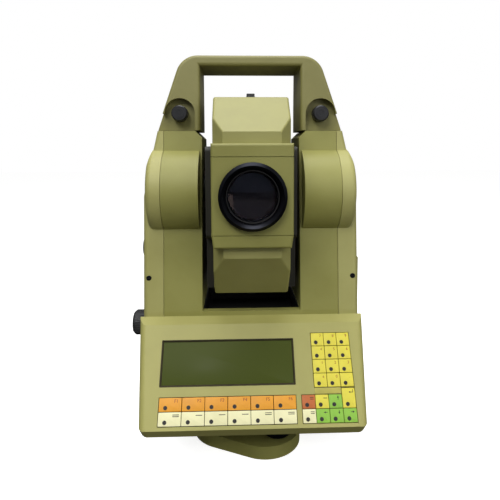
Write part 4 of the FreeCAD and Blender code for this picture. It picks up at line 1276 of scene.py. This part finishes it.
@dataclass
class Telescope:
    """What the telescope has beyond its casings: the optics, grips and open sights.

    Attributes:
        axis_z: height of the tilting axis.
        lens_y: front of the objective lens at its middle.
        lens_radius: free radius of the lens.
        ring_front: front of the objective ring from the tilting axis.
        focus_start: front end of the focusing ring.
        focus_radius: its radius.
        focus_length: its length.
        eyepiece_radius: radius of the eyepiece.
        eyepiece_start: its front end.
        eyepiece_length: its length.
        top: top of the upper cover from the tilting axis.
        bottom: bottom of the lower cover from it.
    """

    axis_z: float = TILT_AXIS_Z
    lens_y: float = -80.0
    lens_radius: float = 19.3
    ring_front: float = 89.0
    focus_start: float = 66.3
    focus_radius: float = 20.0
    focus_length: float = 14.0
    eyepiece_radius: float = 12.5
    eyepiece_start: float = 80.6
    eyepiece_length: float = 17.0
    top: float = 82.2
    bottom: float = 89.5

    def along(self, y: float, forwards: bool = False) -> Matrix:
        """Returns the place of a turned piece on the line of sight; forwards points it at the target."""
        return placed(Axis.MINUS_Y if forwards else Axis.Y, 0, y, self.axis_z)

    def lens(self) -> None:
        """Builds the front lens as a true double-convex form, in place of its faceted design node."""
        radius, edge, bulge, steps = self.lens_radius - 0.05, 1.7, 1.25, 12
        profile = []
        for i in range(steps + 1):
            r = max(radius * i / steps, LEAST_RADIUS)
            profile.append((r, edge + bulge * (1 - (r / radius) ** 2)))
        profile = profile + [(r, -h) for r, h in reversed(profile)]
        place = self.along(self.lens_y + 3.0, True)
        made = turned("objective_front_lens", profile, Finishes.front_glass, "telescope", place)
        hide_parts("objective_lens")

    def inner_optics(self) -> None:
        """Builds the second lens, the small receiver lens and the black tube behind them."""
        lenses = (("second_lens", 16.5, 13.0, 3.2), ("receiver_lens", 6.0, 9.0, 1.8))
        for name, radius, depth, bulge in lenses:
            place = self.along(self.lens_y + depth, True)
            turned(name, plano_convex(radius, 1.5, bulge, 12), Finishes.inner_glass, "telescope", place)
        outside = [(17.2, 1.0), (19.2, 1.0), (20.9, -10), (20.9, -60), (0.1, -60)]
        inside = [(0.1, -59), (19.9, -59), (17.2, -10)]
        place = self.along(self.lens_y + 8.0, True)
        turned("barrel_liner", outside + inside, Finishes.baffle, "telescope", place)

    def ring_details(self, repeats: Repeats) -> None:
        """Adds the stray-light rings inside the objective ring."""
        values = {"Count": 4, "Radius": 20.6, "Spacing": 1.5, "Thickness": 0.35}
        repeats.rings.bake(
            "objective_baffles", values, "telescope", self.along(-self.ring_front + 2.4), Finishes.baffle,
        )

    def grips(self, repeats: Repeats) -> None:
        """Adds the ribs of the focusing ring and of the eyepiece, the rubber eyecup and its lens."""
        repeats.grip(
            "focus_ring", self.along(self.focus_start), self.focus_radius - 0.35,
            (1.8, self.focus_length - 2.2), 64, 0.6, Finishes.rubber,
        )
        repeats.grip(
            "eyepiece", self.along(self.eyepiece_start), self.eyepiece_radius - 0.3,
            (1.5, 8.0), 44, 0.5, Finishes.rubber,
        )
        outer, inner, end = self.eyepiece_radius - 0.6, 6.5, self.eyepiece_length
        profile = [
            (inner, end - 4.2), (outer, end - 4.2), (outer, end - 2.0), (outer - 1.2, end - 0.6),
            (outer - 3, end - 0.1), (inner + 0.6, end - 0.6), (inner, end - 2.0),
        ]
        turned("eyecup", profile, Finishes.rubber, "eyepiece", self.along(self.eyepiece_start), True)
        place = self.along(self.eyepiece_start + 11.0)
        turned("eyepiece_lens", plano_convex(4.9, 1.0, 1.0, 8), Finishes.inner_glass, "eyepiece", place)

    def sights(self) -> None:
        """Adds the two black open sights, on top of the telescope and under it."""
        for name, side, height in (("sight_top", 1, self.top), ("sight_bottom", -1, self.bottom)):
            work = bmesh.new()
            slab(work, (-4.0, 4.0), (-16, 16), (-0.4, 1.6), 1.5, 0.5)
            slab(work, (-3.6, 3.6), (-13, -10), (1.2, 4.4), 0.8, 0.6)
            slab(work, (-1.2, 1.2), (10, 12), (1.2, 4.2), 0.6, 0.5)
            turn = Matrix.Rotation(0 if side > 0 else math.pi, 4, "Y")
            place = Matrix.Translation(Vector((0, -20, self.axis_z + side * height))) @ turn
            make_piece(name, work, [Finishes.polyamide], "telescope", place)

    def build(self, repeats: Repeats) -> None:
        """Builds all of it."""
        self.lens()
        self.inner_optics()
        self.ring_details(repeats)
        self.grips(repeats)
        self.sights()


# ---------------------------------------------------------------- knobs and tribrach


@dataclass
class Knobs:
    """The ribbed grips of the knobs on the alidade and the tribrach, and the level's rim.

    Attributes:
        drive_radius: radius of a drive knob.
        drive_length: its length.
        cover_x: start of the drive knobs, just off the side cover.
        drives: body name to the knob's place along Y and its height.
        screw_radius: radius of a handle screw's knob.
        screw_length: its length.
        screw_y: start of that knob.
        screw_z: height of its middle.
        screws: body name to the screw's place across.
        foot_turn: turn of the tribrach's front corner from -Y, in degrees.
        foot_circle: foot screws to the vertical axis.
        foot_radius: radius of their knobs.
        foot_span: underside and top of those knobs.
    """

    drive_radius: float = 11.0
    drive_length: float = 12.0
    cover_x: float = 95.9
    drives: dict[str, tuple[float, float]] = field(
        default_factory=lambda: {
            "horizontal_drive_knob": (-25.0, 118.5), "vertical_drive_knob": (27.0, 178.0),
        }
    )
    screw_radius: float = 7.0
    screw_length: float = 11.0
    screw_y: float = -21.3
    screw_z: float = 309.5
    screws: dict[str, float] = field(
        default_factory=lambda: {"handle_screw_left": -63.0, "handle_screw_right": 63.0}
    )
    foot_turn: float = 35.0
    foot_circle: float = 41.0
    foot_radius: float = 13.0
    foot_span: tuple[float, float] = (14.5, 30.0)

    def drive_grips(self, repeats: Repeats) -> None:
        """Adds the drive knobs' ribs and the raised ring on their ends."""
        for body, (y, z) in self.drives.items():
            place = placed(Axis.MINUS_X, -self.cover_x, y, z)
            repeats.grip(
                body, place, self.drive_radius - 0.35, (1.8, self.drive_length - 2.4), 36, 0.7,
                Finishes.polyamide,
            )
            end = self.drive_length
            profile = [(6.0, end - 0.3), (7.6, end - 0.3), (7.4, end + 0.35), (6.2, end + 0.35)]
            turned(body + "_rim", profile, Finishes.polyamide, body, place, True, 48)

    def screw_grips(self, repeats: Repeats) -> None:
        """Adds the handle screws' ribs and the raised ring on their ends."""
        for body, x in self.screws.items():
            place = placed(Axis.MINUS_Y, x, self.screw_y, self.screw_z)
            repeats.grip(
                body, place, self.screw_radius - 0.3, (1.2, self.screw_length - 1.6), 22, 0.65,
                Finishes.polyamide,
            )
            end = self.screw_length
            profile = [(2.2, end - 0.2), (4.4, end - 0.2), (4.2, end + 0.3), (2.4, end + 0.3)]
            turned(body + "_boss", profile, Finishes.polyamide, body, place, True, 32)

    def foot_grips(self, repeats: Repeats) -> None:
        """Adds the foot screws' ribs."""
        for letter, degrees in zip("abc", (0, 120, 240)):
            angle = math.radians(self.foot_turn + degrees - 90)
            x, y = self.foot_circle * math.cos(angle), self.foot_circle * math.sin(angle)
            low, high = self.foot_span
            repeats.grip(
                f"foot_screw_{letter}", placed(Axis.Z, x, y, 0), self.foot_radius - 0.45,
                (low + 2.2, high - 2.2), 40, 0.85, Finishes.anodised,
            )

    def level(self) -> None:
        """Adds the circular level's brass rim and its ring mark."""
        low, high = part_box("circular_level")
        centre = (low + high) / 2 / MM
        place = Matrix.Translation(Vector((centre.x, centre.y, high.z / MM)))
        rim = [(7.9, -1.2), (9.4, -1.2), (9.2, 0.5), (8.1, 0.5)]
        turned("level_rim", rim, Finishes.brass, "tribrach", place, True, 48)
        mark = [(3.4, -0.02), (3.9, -0.02), (3.9, 0.12), (3.4, 0.12)]
        turned("level_ring_mark", mark, Finishes.ink, "tribrach", place, True, 40)

    def build(self, repeats: Repeats) -> None:
        """Builds all the grips and dresses the level."""
        self.drive_grips(repeats)
        self.screw_grips(repeats)
        self.foot_grips(repeats)
        self.level()


# ---------------------------------------------------------------- studio


@dataclass
class Studio:
    """The floor, the soft lights and the camera.

    Attributes:
        camera_place: the camera, in mm.
        pitch: how far it looks down, in degrees.
        yaw: how far it looks towards +X, in degrees.
        roll: how far it is turned about its line of sight, in degrees.
        lens: focal length for a 36 mm sensor.
        shift: lens shift across and up.
        ambient: strength of the surroundings as a source of light.
        floor_reach: half the side of the floor, in mm.
        lights: name to place in mm, side in mm and power in watts.
    """

    camera_place: tuple[float, float, float] = (-11.5, -436.2, 275.3)
    pitch: float = 4.41
    yaw: float = 2.03
    roll: float = -0.17
    lens: float = 32.51
    shift: tuple[float, float] = (-0.008, -0.1268)
    ambient: float = 0.22
    floor_reach: float = 6000.0
    lights: tuple[tuple[str, tuple[float, float, float], float, float], ...] = (
        ("key_light", (-400, -900, 1100), 700, 7.5),
        ("fill_light", (800, -900, 500), 900, 4),
        ("top_light", (0, -100, 1500), 800, 13),
        ("left_lamp", (-420, -1500, 1150), 90, 2.2),
        ("right_lamp", (520, -1500, 1000), 60, 1.2),
    )

    def camera(self) -> None:
        """Creates the camera and makes it the scene's own."""
        data = bpy.data.cameras.new("camera")
        data.lens = self.lens
        data.sensor_width = 36.0
        data.shift_x, data.shift_y = self.shift
        made = bpy.data.objects.new("camera", data)
        bpy.context.scene.collection.objects.link(made)
        level = Matrix.Rotation(math.radians(90), 4, "X")
        pitch = Matrix.Rotation(math.radians(-self.pitch), 4, "X")
        yaw = Matrix.Rotation(math.radians(-self.yaw), 4, "Z")
        roll = Matrix.Rotation(math.radians(self.roll), 4, "Z")
        place = Matrix.Translation(Vector(self.camera_place) * MM)
        made.matrix_world = place @ yaw @ pitch @ level @ roll
        bpy.context.scene.camera = made

    def floor(self) -> None:
        """Lays the pale floor, which isn't part of the object."""
        work = bmesh.new()
        sides = (-self.floor_reach, self.floor_reach)
        slab(work, sides, sides, (-40, -0.02), 200, 5)
        bmesh.ops.scale(work, vec=Vector((MM, MM, MM)), verts=work.verts)
        mesh = bpy.data.meshes.new("floor")
        work.to_mesh(mesh)
        work.free()
        mesh.materials.append(Finishes.floor.material())
        made = bpy.data.objects.new("floor", mesh)
        bpy.context.scene.collection.objects.link(made)

    def light(self, name: str, place: tuple[float, float, float], size: float, power: float) -> None:
        """Adds a square soft light that faces the instrument.

        Args:
            name: its name.
            place: where it stands, in mm.
            size: its side, in mm.
            power: its power in watts.
        """
        data = bpy.data.lights.new(name, "AREA")
        data.size = size * MM
        data.energy = power
        made = bpy.data.objects.new(name, data)
        bpy.context.scene.collection.objects.link(made)
        spot = Vector(place) * MM
        aim = Vector((0, 0, 0.2)) - spot
        made.matrix_world = Matrix.Translation(spot) @ aim.to_track_quat("-Z", "Y").to_matrix().to_4x4()

    def world(self) -> None:
        """Sets surroundings that are seen white and light the instrument only faintly."""
        made = bpy.data.worlds.new("surroundings")
        made.use_nodes = True
        made.node_tree.nodes.clear()
        path = add(made.node_tree, "ShaderNodeLightPath")
        strength = add(
            made.node_tree, "ShaderNodeMapRange", None,
            {"Value": path.outputs["Is Camera Ray"], "To Min": self.ambient, "To Max": 1.0},
        )
        back = add(
            made.node_tree, "ShaderNodeBackground", None,
            {"Color": (1, 1, 1, 1), "Strength": strength.outputs["Result"]},
        )
        output = add(made.node_tree, "ShaderNodeOutputWorld")
        made.node_tree.links.new(back.outputs[0], output.inputs["Surface"])
        bpy.context.scene.world = made
        bpy.context.scene.view_settings.view_transform = "Standard"

    def build(self) -> None:
        """Sets up the studio."""
        self.camera()
        self.floor()
        self.world()
        for name, place, size, power in self.lights:
            self.light(name, place, size, power)


def main() -> None:
    """Builds the instrument round the design model, then the studio."""
    logging.basicConfig(level=logging.INFO, format="%(message)s")
    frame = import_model()
    Studio().build()
    repeats = Repeats()
    Casings(frame["nodes"]).build()
    Keyboard().build()
    Telescope().build(repeats)
    Knobs().build(repeats)


if __name__ == "__main__":
    main()
